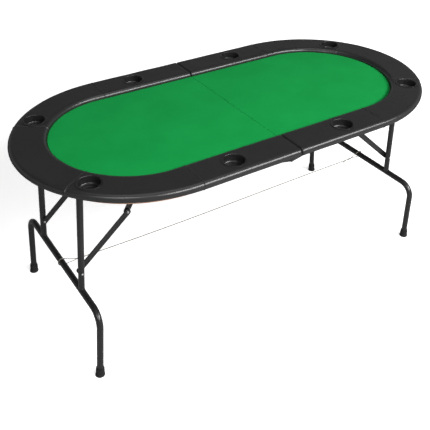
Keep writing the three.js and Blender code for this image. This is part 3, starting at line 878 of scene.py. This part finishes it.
def make_stitches():
    """A row of thread on each side of every sewn seam, across the top and down the outer round."""
    bead = stitch(STITCH_LENGTH, STITCH_RADIUS)
    parts = []
    for place in seam_stations():
        for side in (-1, 1):
            inner, out, width = station_frame(place + side * STITCH_FROM_SEAM)
            reach = width - 2 * RAIL_ROUND
            count = int(reach / STITCH_PITCH)
            arc_count = int(RAIL_ROUND * math.pi / 2 / STITCH_PITCH)
            for k in range(count + 1 + arc_count):
                if k <= count:
                    d, z, tilt = RAIL_ROUND + (k + 0.3) * STITCH_PITCH, RAIL_TOP + STITCH_RISE, 0
                else:
                    tilt = (k - count) * STITCH_PITCH / RAIL_ROUND
                    d = width - RAIL_ROUND + (RAIL_ROUND + STITCH_RISE) * math.sin(tilt)
                    z = RAIL_TOP - RAIL_ROUND + (RAIL_ROUND + STITCH_RISE) * math.cos(tilt)
                x, y = inner.x + out.x * d, inner.y + out.y * d
                if cup_distance(np.array([[x, y, z]]))[0] < CUP_FLANGE + 2 * MM:
                    continue
                aim = Matrix.Rotation(math.atan2(out.y, out.x), 4, "Z") @ Matrix.Rotation(tilt, 4, "Y")
                parts.append(moved(bead, Matrix.Translation((x, y, z)) @ aim))
    whole = merged(parts)
    for half in HALVES:
        piece(f"{half}_rail_stitches", moved(whole, turn_half(half)), "thread", f"{half}_half")


# ---------- felt, board and skirt ----------

FELT_ROWS = 72
FELT_COLUMNS = 84
FELT_THICKNESS = 3.4 * MM
FELT_EDGE = 1.6 * MM
WAVE_FADE = 30 * MM


def eased_run(length, count):
    """Places from 0 to length, close together at both ends where the felt's edge is rounded."""
    edge = [FELT_EDGE * k for k in (0, 0.12, 0.35, 0.7, 1.0)]
    middle = np.linspace(FELT_EDGE, length - FELT_EDGE, count)[1:-1]
    return edge + list(middle) + [length - d for d in edge[::-1]]


def make_felts():
    """Felt over thin foam: a soft rounded edge, and the faint waves of stretched cloth."""
    radius = INNER_RADIUS - FELT_CLEARANCE
    rows = []
    for d in eased_run(2 * radius, FELT_ROWS):
        y = d - radius
        length = INNER_CENTRE_X + math.sqrt(max(0, radius ** 2 - y ** 2)) - GAP
        row = []
        for t in eased_run(length, FELT_COLUMNS):
            x = GAP + t
            near = min(d, 2 * radius - d, t, length - t)
            share = min(near / FELT_EDGE, 1)
            dip = FELT_EDGE * (1 - math.sqrt(max(0, 1 - (1 - share) ** 2)))
            wave = 0.25 * MM * noise.noise(Vector((x * 6, y * 6, 3)))
            wave += 0.08 * MM * noise.noise(Vector((x * 24, y * 24, 8)))
            row.append((x, y, FELT_TOP - dip + wave * min(1, near / WAVE_FADE)))
        rows.append(row)
    top = np.array(rows)
    height, width, _ = top.shape
    bottom = top.copy()
    bottom[:, :, 2] = FELT_TOP - FELT_THICKNESS
    verts = np.concatenate([top.reshape(-1, 3), bottom.reshape(-1, 3)])
    count = height * width
    faces = []
    for i in range(height - 1):
        for k in range(width - 1):
            a = i * width + k
            faces.append((a, a + 1, a + width + 1, a + width))
            faces.append((count + a, count + a + width, count + a + width + 1, count + a + 1))
    rim = list(range(width))
    rim += [i * width + width - 1 for i in range(1, height)]
    rim += [(height - 1) * width + k for k in range(width - 2, -1, -1)]
    rim += [i * width for i in range(height - 2, 0, -1)]
    for a, b in zip(rim, rim[1:] + rim[:1]):
        faces.append((b, a, count + a, count + b))
    for half in HALVES:
        piece(f"{half}_felt_sheet", moved((verts, faces), turn_half(half)), "felt", f"{half}_half",
              math.radians(60), nodes=[f"{half}_felt"])


def make_boards():
    outline = outer_outline(BOARD_INSET, BOARD_LOW.x)
    thickness = BOARD_HIGH.z - BOARD_LOW.z
    mesh = plate([outline], thickness, 0.5 * MM)
    mesh.transform(Matrix.Translation((0, 0, (BOARD_HIGH.z + BOARD_LOW.z) / 2)))
    dress_halves("board", cut_cups(mesh, CUP_HOLE + GAP), "board", "top_board")


def make_skirts():
    """The bent wood band, its edges eased, with the grain running along it."""
    low, high = SKIRT_LOW.z, SKIRT_HIGH.z
    ease = 1.2 * MM
    bit = 0.35 * ease
    deep = SKIRT_THICKNESS
    section = [(0, low + ease), (0, high - ease), (bit, high - bit), (ease, high), (deep - ease, high),
               (deep - bit, high - bit), (deep, high - ease), (deep, low + ease), (deep - bit, low + bit),
               (deep - ease, low), (ease, low), (bit, low + bit)]
    points = [Vector(p) for p in outer_outline(SKIRT_INSET, SKIRT_LOW.x, 9 * MM)]
    verts, uv = [], []
    run = 0.0
    for i, point in enumerate(points):
        before, after = neighbours(points, i)
        tangent = (after - before).normalized()
        inward = Vector((-tangent.y, tangent.x))
        run += (point - before).length
        for d, z in section:
            verts.append((point.x + inward.x * d, point.y + inward.y * d, z))
            uv.append((run, z + d))
    faces = [[face[0], *reversed(face[1:])] for face in tube_faces(len(points), len(section))]
    for half in HALVES:
        piece(f"{half}_wood_skirt", moved((verts, faces), turn_half(half)), "wood", f"{half}_half",
              math.radians(28), uv=uv, nodes=[f"{half}_skirt"])


# ---------- cup wells ----------

def cup_profile():
    """A moulded well: rolled flange, slightly tapered wall, rounded foot and a ribbed floor."""
    top = CUP_HIGH.z
    seat = top - 1.2 * MM
    floor = CUP_LOW.z
    wall = 2 * MM
    inner = CUP_RADIUS - wall
    corners = [
        (0, floor), (CUP_RADIUS - 4 * MM, floor), (CUP_RADIUS - 1 * MM, floor + 4 * MM),
        (CUP_RADIUS, seat), (CUP_FLANGE - 0.6 * MM, seat), (CUP_FLANGE, seat + 0.5 * MM),
        (CUP_FLANGE - 0.7 * MM, top - 0.15 * MM), (CUP_FLANGE - 2.2 * MM, top),
        (CUP_RADIUS + 1.2 * MM, top), (CUP_RADIUS + 0.2 * MM, top - 0.35 * MM),
        (inner + 1.6 * MM, top - 0.35 * MM), (inner + 0.4 * MM, top - 1.4 * MM),
        (inner - 0.6 * MM, floor + 6 * MM), (inner - 4.5 * MM, floor + wall),
        (24 * MM, floor + wall), (23.2 * MM, floor + wall + 0.9 * MM),
        (21 * MM, floor + wall + 0.9 * MM), (20.2 * MM, floor + wall),
        (6 * MM, floor + wall), (5.2 * MM, floor + wall + 0.5 * MM), (0, floor + wall + 0.5 * MM)]
    return rounded(corners, 1.6 * MM)


def make_cups():
    part = lathe(cup_profile(), 64)
    for node in CUP_NODES:
        half = node.split("_")[0]
        _, _, centre = box_of(node)
        placed = moved(part, Matrix.Translation((centre.x, centre.y, 0)))
        piece(node.replace("cup_holder", "cup_well"), placed, "plastic", f"{half}_half",
              math.radians(32), nodes=[node])


# ---------- leg sets ----------

def bent_path(corners, radius, steps=20):
    """Straight runs through the corners, joined by round bends."""
    path = [corners[0]]
    for before, corner, after in zip(corners, corners[1:], corners[2:]):
        into = (corner - before).normalized()
        out = (after - corner).normalized()
        turn = into.angle(out)
        start = corner - into * radius * math.tan(turn / 2)
        inward = (out - into * math.cos(turn)).normalized()
        centre = start + inward * radius
        for k in range(steps + 1):
            angle = turn * k / steps
            path.append(centre - inward * radius * math.cos(angle) + into * radius * math.sin(angle))
    path.append(corners[-1])
    return path


def coped_tube(radius, top_z, top_radius, bottom_z, bottom_radius, segments=40):
    """A tube along Z whose two ends are cut to sit on round tubes that run along Y."""
    verts = []
    levels = 14
    for level in range(levels + 1):
        for x, y in circle(radius, segments):
            high = top_z - math.sqrt(max(top_radius ** 2 - x * x, 0))
            low = bottom_z + math.sqrt(max(bottom_radius ** 2 - x * x, 0))
            verts.append(Vector((x, y, low + (high - low) * level / levels)))
    faces = band_faces(levels + 1, segments)
    for level, flip in ((0, True), (levels, False)):
        ring = [level * segments + k for k in range(segments)]
        centre = len(verts)
        verts.append(sum((verts[i] for i in ring), Vector()) / segments)
        for k in range(segments):
            a, b = ring[k], ring[(k + 1) % segments]
            faces.append([b, a, centre] if flip else [a, b, centre])
    return verts, faces


def weld_bead(tube_radius, seat_radius, seat_z, direction, phase):
    """A rippled fillet weld round the foot of a tube that stands on a round bar along Y."""
    count, around = 120, 8
    reach = tube_radius + GAP
    verts = []
    for k, (x, y) in enumerate(circle(1, count)):
        angle = 2 * math.pi * k / count
        ripple = 1 + 0.22 * math.sin(angle * 22 + phase) + 0.12 * math.sin(angle * 9 + 2 * phase)
        height = seat_z + direction * math.sqrt(max(seat_radius ** 2 - (reach * x) ** 2, 0))
        centre = Vector((reach * x, reach * y, height + direction * 0.4 * MM))
        for out, up in circle(1.5 * MM * ripple, around):
            verts.append(centre + Vector((x * out, y * out, up)))
    return verts, [face[::-1] for face in band_faces(count, around, closed=True)]


def foot_cap_part():
    """A rubber foot: wide base, stepped collar with grip rings, drawn with the leg down -Z."""
    corners = [(0, -3), (17.6, -3), (18.5, -2), (18.5, 5), (17.9, 6.4), (16.9, 8), (16.9, 11),
               (16.2, 11.8), (16.2, 14.6), (16.8, 15.4), (16.6, 24), (16.0, 24.6), (16.0, 26.4),
               (16.5, 27), (16.2, 33.5), (15.8, 34.4), (15.7, 37.2), (14.9, 38), (12.4, 38),
               (12.4, 30), (0, 30)]
    profile = rounded([(r * MM, z * MM) for r, z in corners], 0.9 * MM)
    return lathe(profile, 48)


def cut_level(mesh):
    """Cuts a piece off level just above the floor and closes the cut."""
    work = bmesh.new()
    work.from_mesh(mesh)
    geometry = list(work.verts) + list(work.edges) + list(work.faces)
    cut = bmesh.ops.bisect_plane(work, geom=geometry, plane_co=(0, 0, 0.0002), plane_no=(0, 0, 1),
                                 clear_inner=True)
    edges = [e for e in cut["geom_cut"] if isinstance(e, bmesh.types.BMEdge)]
    bmesh.ops.contextual_create(work, geom=edges)
    work.to_mesh(mesh)
    work.free()


def rivet_head(radius, height, steps=6):
    """Half of a domed rivet on the XY plane, its head up +Z and a short shank below."""
    profile = [(0, -0.8 * MM), (radius * 0.6, -0.8 * MM), (radius * 0.6, 0), (radius, 0),
               (radius, height * 0.25)]
    for k in range(1, steps):
        turn = math.pi / 2 * k / steps
        profile.append((radius * math.cos(turn), height * (0.25 + 0.75 * math.sin(turn))))
    profile.append((0, height))
    return lathe(profile, 28)


def make_leg_set(half):
    body = f"{half}_leg"
    place = leg_matrix(half)
    bottom = TUBE_END_LIFT - LEG_LENGTH
    corners = [Vector((0, -FOOT.y, bottom)), Vector((0, -FOOT.y, -CROSSBAR_DROP)),
               Vector((0, FOOT.y, -CROSSBAR_DROP)), Vector((0, FOOT.y, bottom))]
    frame_tube = sweep(bent_path(corners, BEND_RADIUS), circle(FRAME_RADIUS, 36))
    piece(f"{half}_bent_frame", moved(frame_tube, place), "coated", body, nodes=[f"{half}_lower_frame"])

    bore = PIVOT_TUBE_RADIUS - TUBE_WALL
    ring = rounded([(bore, -PIVOT_TUBE_HALF), (PIVOT_TUBE_RADIUS, -PIVOT_TUBE_HALF),
                    (PIVOT_TUBE_RADIUS, PIVOT_TUBE_HALF), (bore, PIVOT_TUBE_HALF)], 0.4 * MM)
    top_tube = moved(tube_ring(ring, 36), place @ Matrix.Rotation(-math.pi / 2, 4, "X"))
    piece(f"{half}_top_tube", top_tube, "coated", body, nodes=[f"{half}_pivot_tube"])

    for end in ENDS:
        sign = side_sign(half, end)
        here = place @ Matrix.Translation((0, sign * UPRIGHT_Y, 0))
        tube = coped_tube(UPRIGHT_RADIUS, 0, PIVOT_TUBE_RADIUS, -CROSSBAR_DROP, FRAME_RADIUS)
        piece(f"{half}_{end}_leg_tube", moved(tube, here), "coated", body, math.radians(60),
              nodes=[f"{half}_{end}_upright"])
        welds = [weld_bead(UPRIGHT_RADIUS, FRAME_RADIUS, -CROSSBAR_DROP, 1, 1.0 + sign),
                 weld_bead(UPRIGHT_RADIUS, PIVOT_TUBE_RADIUS, 0, -1, 2.0 - sign)]
        piece(f"{half}_{end}_welds", moved(merged(welds), here), "coated", body, math.radians(80))
        make_foot(half, end, place @ Matrix.Translation((0, sign * FOOT.y, -LEG_LENGTH)))
        make_brace_rivet(half, end)


def make_foot(half, end, place):
    mesh = mesh_of(*moved(foot_cap_part(), place))
    cut_level(mesh)
    dress(f"{half}_{end}_rubber_foot", mesh, "rubber", f"{half}_leg", math.radians(40),
          nodes=[f"{half}_{end}_foot_cap"])


def rivet_reach(node):
    """The rivet's middle, and how far its inner and outer ends are from the middle of the table."""
    low, high, centre = box_of(node)
    inner, outer = sorted((abs(low.y), abs(high.y)))
    return flat_xz(centre), inner, outer


def outer_head(outer):
    return moved(rivet_head(RIVET_RADIUS, RIVET_HEAD), Matrix.Translation((0, 0, outer - RIVET_HEAD)))


def make_brace_rivet(half, end):
    """The rivet that pins a lower brace to its upright, headed at both ends."""
    part = f"{half}_{end}"
    point, inner, outer = rivet_reach(f"{part}_brace_rivet")
    turned = moved(rivet_head(RIVET_RADIUS, RIVET_HEAD), Matrix.Rotation(math.pi, 4, "X"))
    inner_head = moved(turned, Matrix.Translation((0, 0, inner + RIVET_HEAD)))
    shank = rod(SHANK_RADIUS, inner + RIVET_HEAD - HEAD_LAP, outer - RIVET_HEAD + HEAD_LAP)
    rivet = moved(merged([inner_head, outer_head(outer), shank]), along_y(point, ENDS[end]))
    piece(f"{part}_leg_rivet", rivet, "bright", f"{half}_leg", nodes=[f"{part}_brace_rivet"])


# ---------- folding braces ----------

def bar_outline(length, radius, steps=16):
    points = []
    for centre, start in ((length, -90), (0, 90)):
        for k in range(steps + 1):
            angle = math.radians(start + 180 * k / steps)
            points.append((centre + radius * math.cos(angle), radius * math.sin(angle)))
    return points


GROOVE_MARGIN = 24 * MM
GROOVE_HALF = 5.2 * MM
GROOVE_DEPTH = 1.5 * MM


def bar_mesh(start, end, holes, inner, outer, sign):
    """A flat bar, grooved along both faces, between two points of the right half's XZ plane. It
    lies between two distances from the middle of the table, to the side that sign gives."""
    length = (end - start).length
    rims = [[(share * length + a, b) for a, b in circle(PIN_HOLE_RADIUS, 24)] for share in holes]
    thickness = outer - inner
    mesh = plate([bar_outline(length, BRACE_WIDTH / 2), *rims], thickness, 0.7 * MM)
    groove_outline = bar_outline(length - 2 * GROOVE_MARGIN, GROOVE_HALF)
    grooves = []
    for face in (-1, 1):
        groove = plate([groove_outline], 2 * GROOVE_DEPTH, 0.9 * GROOVE_DEPTH)
        groove.transform(Matrix.Translation((GROOVE_MARGIN, 0, face * thickness / 2)))
        grooves.append(groove)
    mesh = carved(mesh, grooves)
    direction = (end - start).normalized()
    across = Vector((0, -1, 0))
    turn = Matrix((direction, across.cross(direction), across)).transposed().to_4x4()
    middle = Vector((start.x, sign * (inner + outer) / 2, start.z))
    mesh.transform(Matrix.Translation(middle) @ turn)
    return mesh


def flat_xz(point):
    return Vector((point.x, 0, point.z))


def make_braces(half, end):
    sign = side_sign(half, end)
    part = f"{half}_{end}"
    brace, elbow, link = (flat_xz(point) for point in (BRACE_PIVOT, ELBOW, LINK_PIVOT))
    lower = bar_mesh(brace, elbow, [0, 1], BRACE_LOW.y, BRACE_HIGH.y, sign)
    upper = bar_mesh(elbow, link, [1], LINK_LOW.y, LINK_HIGH.y, sign)
    for name, mesh, node in (("brace_bar", lower, "lower_brace"), ("link_bar", upper, "upper_link")):
        mesh.transform(turn_half(half))
        dress(f"{part}_{name}", mesh, "coated", f"{part}_{node}", nodes=[f"{part}_{node}"])
    point, inner, outer = rivet_reach(f"{part}_elbow_rivet")
    shank = rod(SHANK_RADIUS, inner, outer - RIVET_HEAD + HEAD_LAP)
    pin = moved(merged([outer_head(outer), shank]), along_y(point, ENDS[end]))
    piece(f"{part}_elbow_pin", pin, "bright", f"{part}_lower_brace", nodes=[f"{part}_elbow_rivet"])


# ---------- small steel parts kept from the frame, with eased edges ----------

def ease_cad_node(node, look, bevel):
    obj = frame["nodes"][node]
    material, slot = LOOKS[look]
    obj.data.materials.clear()
    obj.data.materials.append(material)
    obj.data.shade_smooth()
    obj.data.set_sharp_from_angle(angle=math.radians(30))
    edges = obj.modifiers.new("eased", "BEVEL")
    edges.width = bevel
    edges.segments = 2
    edges.limit_method = "ANGLE"
    edges.angle_limit = math.radians(35)


SCREW_SINK = 0.6 * MM
PLATE_SCREWS = ((26, 20), (50, 24), (50, 12))
PLATE_FACE = {"left": 2.3 * MM, "right": 4.6 * MM}


def screw_part(radius, height):
    """A pan-head screw with a cross recess, standing on the XY plane."""
    rings, segments = 9, 32
    bed = height * 0.35
    verts = []
    for i in range(1, rings + 1):
        share = i / rings
        dome = height * math.sqrt(max(0, 1 - 0.92 * share ** 4))
        for x, y in circle(share * radius, segments):
            recess = min(abs(x), abs(y)) < 0.16 * radius and share < 0.62
            verts.append(Vector((x, y, bed if recess else dome)))
    verts.extend(Vector((x, y, -SCREW_SINK)) for x, y in circle(radius, segments))
    faces = [[a, d, c, b] for a, b, c, d in band_faces(rings + 1, segments)]
    faces.append([rings * segments + k for k in reversed(range(segments))])
    middle = len(verts)
    verts.append(Vector((0, 0, bed)))
    faces.extend([middle, k, (k + 1) % segments] for k in range(segments))
    return verts, faces


def make_fittings(half):
    """Saddles, brackets and hinge plates with their screws, all fixed to one half."""
    head = moved(screw_part(4.2 * MM, 2.2 * MM), Matrix.Rotation(math.pi, 4, "X"))
    flange = 2 * MM
    screws = []
    for end, outward in ENDS.items():
        part = f"{half}_{end}"
        ease_cad_node(f"{part}_pivot_saddle", "coated", 0.5 * MM)
        ease_cad_node(f"{part}_brace_bracket", "coated", 0.5 * MM)
        ease_cad_node(f"{part}_hinge_plate", "coated", 0.35 * MM)
        low, high, centre = box_of(f"{part}_pivot_saddle")
        places = [(x, centre.y, high.z - flange) for x in (low.x + 7 * MM, high.x - 7 * MM)]
        low, high, _ = box_of(f"{part}_brace_bracket")
        y = min(low.y, high.y, key=abs) + outward * 10 * MM
        places += [(x, y, high.z - flange) for x in (low.x + 9 * MM, high.x - 9 * MM)]
        screws += [moved(head, Matrix.Translation(place)) for place in places]
        y = outward * (SKIRT_HIGH.y + PLATE_FACE[half])
        for along, rise in PLATE_SCREWS:
            point = Vector((HALVES[half] * along * MM, y, HINGE_AXIS.z + rise * MM))
            roll = Matrix.Rotation(0.7 * along, 4, "Z")
            screws.append(moved(screw_part(3.4 * MM, 1.6 * MM), along_y(point, outward) @ roll))
    piece(f"{half}_screws", merged(screws), "bright", f"{half}_half", math.radians(25))


# ---------- cable, with its eyes, sleeves and tails ----------

CORD_LOW, CORD_HIGH, _ = box_of("cord_span")
CORD_RADIUS = 2 * MM
CORD_PITCH = 8 * MM
CORD_SHARP = math.radians(70)
STRANDS = 3
STRAND_LAY = 1.0 * MM
STRAND_RADIUS = 1.05 * MM
CORD_SPLIT = 300 * MM
CORD_SWAY = 3.2 * MM
EYE_LENGTH = 46 * MM
ACROSS = Vector((0, 1, 0))
UP = Vector((0, 0, 1))


def cord_point(x):
    """The cord sags in the middle. It also sways to one side on the left and to the other on the
    right, so that its two ends pass each other when the table folds."""
    reach = CORD_HIGH.x
    top, bottom = CORD_HIGH.z - CORD_RADIUS, CORD_LOW.z + CORD_RADIUS
    sway = CORD_SWAY * math.sin(math.pi * x / (reach - EYE_LENGTH))
    return Vector((x, sway, top - (top - bottom) * (1 - (x / reach) ** 2)))


def twisted(path):
    """Strands laid round a centre line given as (distance, point, side, up) places."""
    parts = []
    for strand in range(STRANDS):
        line = []
        for run, point, side, up in path:
            angle = 2 * math.pi * (run / CORD_PITCH + strand / STRANDS)
            line.append(point + (side * math.cos(angle) + up * math.sin(angle)) * STRAND_LAY)
        parts.append(sweep(line, circle(STRAND_RADIUS, 6)))
    return merged(parts)


def straight_path(x0, x1):
    count = round(abs(x1 - x0) / CORD_PITCH * 9)
    return [(x, cord_point(x), ACROSS, UP) for x in np.linspace(x0, x1, count + 1)]


def hang(name, part, look="cord", sharp=CORD_SHARP, nodes=()):
    """A piece at the cord's outer end, with its placing baked into its mesh."""
    obj = piece(name, part, look, None, sharp, nodes=nodes)
    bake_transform(obj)


def make_cord():
    for half, side in HALVES.items():
        hang(f"cord_{half}", twisted(straight_path(sleeve_x(half), side * CORD_SPLIT)))
    middle = twisted(straight_path(-CORD_SPLIT, CORD_SPLIT))
    obj = piece("cord_middle", middle, "cord", None, CORD_SHARP, nodes=["cord_span"])
    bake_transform(obj)


TAIL_LENGTH = {"left": 14 * MM, "right": 40 * MM}
SLEEVE_HALF = 6 * MM
SLEEVE_BORE = 1.6 * MM
SLEEVE_RADIUS = 3.1 * MM
STRAND_GAP = 1.9 * MM


def sleeve_x(half):
    return HALVES[half] * (CORD_HIGH.x - EYE_LENGTH)


def eye_path(centre, radius, meet):
    """Round the crossbar and back: two straight strands from the sleeve and the turn between."""
    reach = meet - centre
    reach.y = 0
    heading = math.atan2(reach.z, reach.x)
    open_angle = math.acos(radius / reach.length)
    turns = np.linspace(open_angle, 2 * math.pi - open_angle, 49)
    wrap = [centre + Vector((math.cos(heading + t), 0, math.sin(heading + t))) * radius for t in turns]
    there, back = ([meet.lerp(tip, k / 12) for k in range(12)] for tip in (wrap[0], wrap[-1]))
    line = there + wrap + back[::-1]
    for k, point in enumerate(line):
        point.y = centre.y + STRAND_GAP * (1 - 2 * k / (len(line) - 1))
    out, run = [], 0.0
    for k, point in enumerate(line):
        before, after = neighbours(line, k)
        run += (point - before).length
        out.append((run, point, (after - before).normalized().cross(ACROSS).normalized(), ACROSS))
    return out


def make_cord_ends(half):
    """The eye round a crossbar, the sleeve pressed on its two strands, and the cord's short tail."""
    node = f"{half}_cord_loop"
    low, high, centre = box_of(node)
    radius = (high.z - low.z) / 2 - CORD_RADIUS + 0.5 * MM
    meet = cord_point(sleeve_x(half))
    hang(f"{half}_cord_eye", twisted(eye_path(centre, radius, meet)), nodes=[node])
    profile = rounded([(SLEEVE_BORE, -SLEEVE_HALF), (SLEEVE_RADIUS, -SLEEVE_HALF),
                       (SLEEVE_RADIUS, SLEEVE_HALF), (SLEEVE_BORE, SLEEVE_HALF)], 0.7 * MM)
    pressed = Matrix.Diagonal((0.85, 1.45, 1, 1))
    place = Matrix.Translation(meet) @ Matrix.Rotation(math.pi / 2, 4, "Y") @ pressed
    hang(f"{half}_cord_sleeve", moved(tube_ring(profile, 32), place), "bright", SHARP)
    length = TAIL_LENGTH[half]
    beside = meet - ACROSS * STRAND_GAP
    tail = []
    for t in np.linspace(0, 1, 25):
        drop = Vector((-HALVES[half] * length * t, 3 * MM * math.sin(2.4 * t), -9 * MM * t * t))
        tail.append((length * t, beside + drop, ACROSS, UP))
    hang(f"{half}_cord_tail", twisted(tail))


# ---------- closure tab ----------

TAB_TOP = 47 * MM
TAB_TIP = 9 * MM
TAB_THICKNESS = 2.4 * MM
STUD_DROP = 11 * MM


def make_closure_tab():
    """A small padded leather triangle with a pressed stud, sewn under the rail."""
    low, high, centre = box_of("closure_tab")
    tip_y = low.z - high.z + 1 * MM
    outline = rounded([(0, 0), (-TAB_TOP / 2, 0), (-TAB_TIP / 2, tip_y), (TAB_TIP / 2, tip_y),
                       (TAB_TOP / 2, 0), (0, 0)], 3 * MM, 5)[:-1]
    turn = math.atan2(high.x - low.x, low.y - high.y)
    along = Vector((-math.sin(turn), math.cos(turn), 0))
    outward = Vector((math.cos(turn), math.sin(turn), 0))
    face = Matrix((along, UP, outward)).transposed().to_4x4()
    place = Matrix.Translation((centre.x, centre.y, high.z)) @ face
    mesh = plate([outline], TAB_THICKNESS, 1.0 * MM)
    mesh.transform(place)
    dress("leather_tab", mesh, "leather", "right_half", nodes=["closure_tab"])
    stud = [(0, -0.8), (4.4, -0.8), (5.2, 0.4), (4.6, 1.5), (2.6, 2.1), (2.2, 1.6), (0, 1.6)]
    profile = rounded([(r * MM, z * MM) for r, z in stud], 0.5 * MM)
    placed = moved(lathe(profile, 32), place @ Matrix.Translation((0, -STUD_DROP, TAB_THICKNESS / 2)))
    piece("tab_stud", placed, "bright", "right_half")


# ---------- studio ----------

FLOOR_LIFT = 0.62
FLOOR_NEAR = 1.6
FLOOR_FADE = 0.3
FLOOR_SEEN = (0.93, 0.93, 0.93)
FLOOR_BOUNCE = (0.42, 0.42, 0.42)
FLOOR_SIZE = 14.0
LIGHT_TARGET = Vector((0, 0, 0.6))
DOME = ((0.08, 0.62), (0.36, 0.12), (0.52, 0.045))


def make_floor():
    corners = [(x * FLOOR_SIZE, y * FLOOR_SIZE, 0) for x, y in ((-1, -1), (1, -1), (1, 1), (-1, 1))]
    floor = linked("floor", mesh_of(corners, [(0, 1, 2, 3)]))
    n = Nodes("pale_floor")
    n.set(Roughness=0.9, Specular_IOR_Level=0.1)
    rays = n.tree.nodes.new("ShaderNodeLightPath")
    seen = rays.outputs["Is Camera Ray"]
    n.link(n.mix(seen, FLOOR_BOUNCE, FLOOR_SEEN), n.shader.inputs["Base Color"])
    n.shader.inputs["Emission Color"].default_value = (1, 1, 1, 1)
    place = n.tree.nodes.new("ShaderNodeVectorMath")
    place.operation = "LENGTH"
    n.link(n.coords.outputs["Object"], place.inputs[0])
    far = n.math("MULTIPLY", n.math("SUBTRACT", place.outputs["Value"], FLOOR_NEAR), FLOOR_FADE)
    far.node.use_clamp = True
    lift = n.math("ADD", far, FLOOR_LIFT)
    n.link(n.math("MULTIPLY", seen, lift), n.shader.inputs["Emission Strength"])
    floor.data.materials.append(n.material)


def towards(azimuth, elevation):
    a, e = math.radians(azimuth), math.radians(elevation)
    return Vector((math.sin(a) * math.cos(e), -math.cos(a) * math.cos(e), math.sin(e)))


def area_light(name, azimuth, elevation, distance, size, power):
    """A soft light that looks at the table's legs from a direction."""
    light = bpy.data.lights.new(name, "AREA")
    light.shape = "RECTANGLE"
    light.size, light.size_y = size
    light.energy = power
    obj = linked(name, light)
    back = towards(azimuth, elevation)
    obj.location = LIGHT_TARGET + back * distance
    obj.rotation_mode = "QUATERNION"
    obj.rotation_quaternion = back.to_track_quat("Z", "Y")


def make_world():
    """White to the camera; a soft dome that is brighter near the horizon for everything else."""
    world = bpy.data.worlds.new("studio")
    bpy.context.scene.world = world
    world.use_nodes = True
    tree = world.node_tree
    background = tree.nodes["Background"]
    rays = tree.nodes.new("ShaderNodeLightPath")
    coords = tree.nodes.new("ShaderNodeTexCoord")
    split = tree.nodes.new("ShaderNodeSeparateXYZ")
    ramp = tree.nodes.new("ShaderNodeValToRGB")
    ramp.color_ramp.elements.new(0.4)
    for element, (height, level) in zip(ramp.color_ramp.elements, DOME):
        element.position = height
        element.color = (level, level, level * 1.01, 1)
    mix = tree.nodes.new("ShaderNodeMix")
    mix.data_type = "RGBA"
    mix.inputs[7].default_value = (1.0, 1.0, 1.0, 1)
    tree.links.new(coords.outputs["Generated"], split.inputs["Vector"])
    tree.links.new(split.outputs["Z"], ramp.inputs["Fac"])
    tree.links.new(ramp.outputs["Color"], mix.inputs[6])
    tree.links.new(rays.outputs["Is Camera Ray"], mix.inputs[0])
    tree.links.new(mix.outputs[2], background.inputs["Color"])
    background.inputs["Strength"].default_value = 1.0


def make_lights():
    make_world()
    area_light("key_front", 22, 34, 4.4, (4.4, 1.1), 290)
    area_light("left_front", -44, 34, 4.2, (1.6, 1.0), 45)
    area_light("top_soft", 0, 86, 3.8, (3.4, 2.4), 30)


CAMERA_AZIMUTH = -33.70
CAMERA_ELEVATION = 36.45
CAMERA_ROLL = 1.20
CAMERA_PLACE = Vector((-1.34241, -1.91018, 1.93713))
CAMERA_LENS = 54.24


def make_camera():
    back = towards(CAMERA_AZIMUTH, CAMERA_ELEVATION)
    roll = math.radians(CAMERA_ROLL)
    right = (-back).cross(UP).normalized()
    down = (-back).cross(right)
    turned_right = right * math.cos(roll) - down * math.sin(roll)
    turned_down = right * math.sin(roll) + down * math.cos(roll)
    data = bpy.data.cameras.new("camera")
    data.sensor_width = 36
    data.lens = CAMERA_LENS
    data.clip_start, data.clip_end = 0.05, 60
    camera = linked("camera", data)
    axes = Matrix((turned_right, -turned_down, back)).transposed()
    camera.matrix_world = Matrix.Translation(CAMERA_PLACE) @ axes.to_4x4()
    bpy.context.scene.camera = camera


# ---------- assembly ----------

make_rails()
make_stitches()
make_felts()
make_boards()
make_skirts()
make_cups()
for half in HALVES:
    make_leg_set(half)
    make_fittings(half)
    make_cord_ends(half)
    for end in ENDS:
        make_braces(half, end)
make_cord()
make_closure_tab()
make_floor()
make_lights()
make_camera()
bpy.context.scene.view_settings.view_transform = "Standard"
bpy.context.scene.view_settings.look = "None"

bpy.context.view_layer.update()
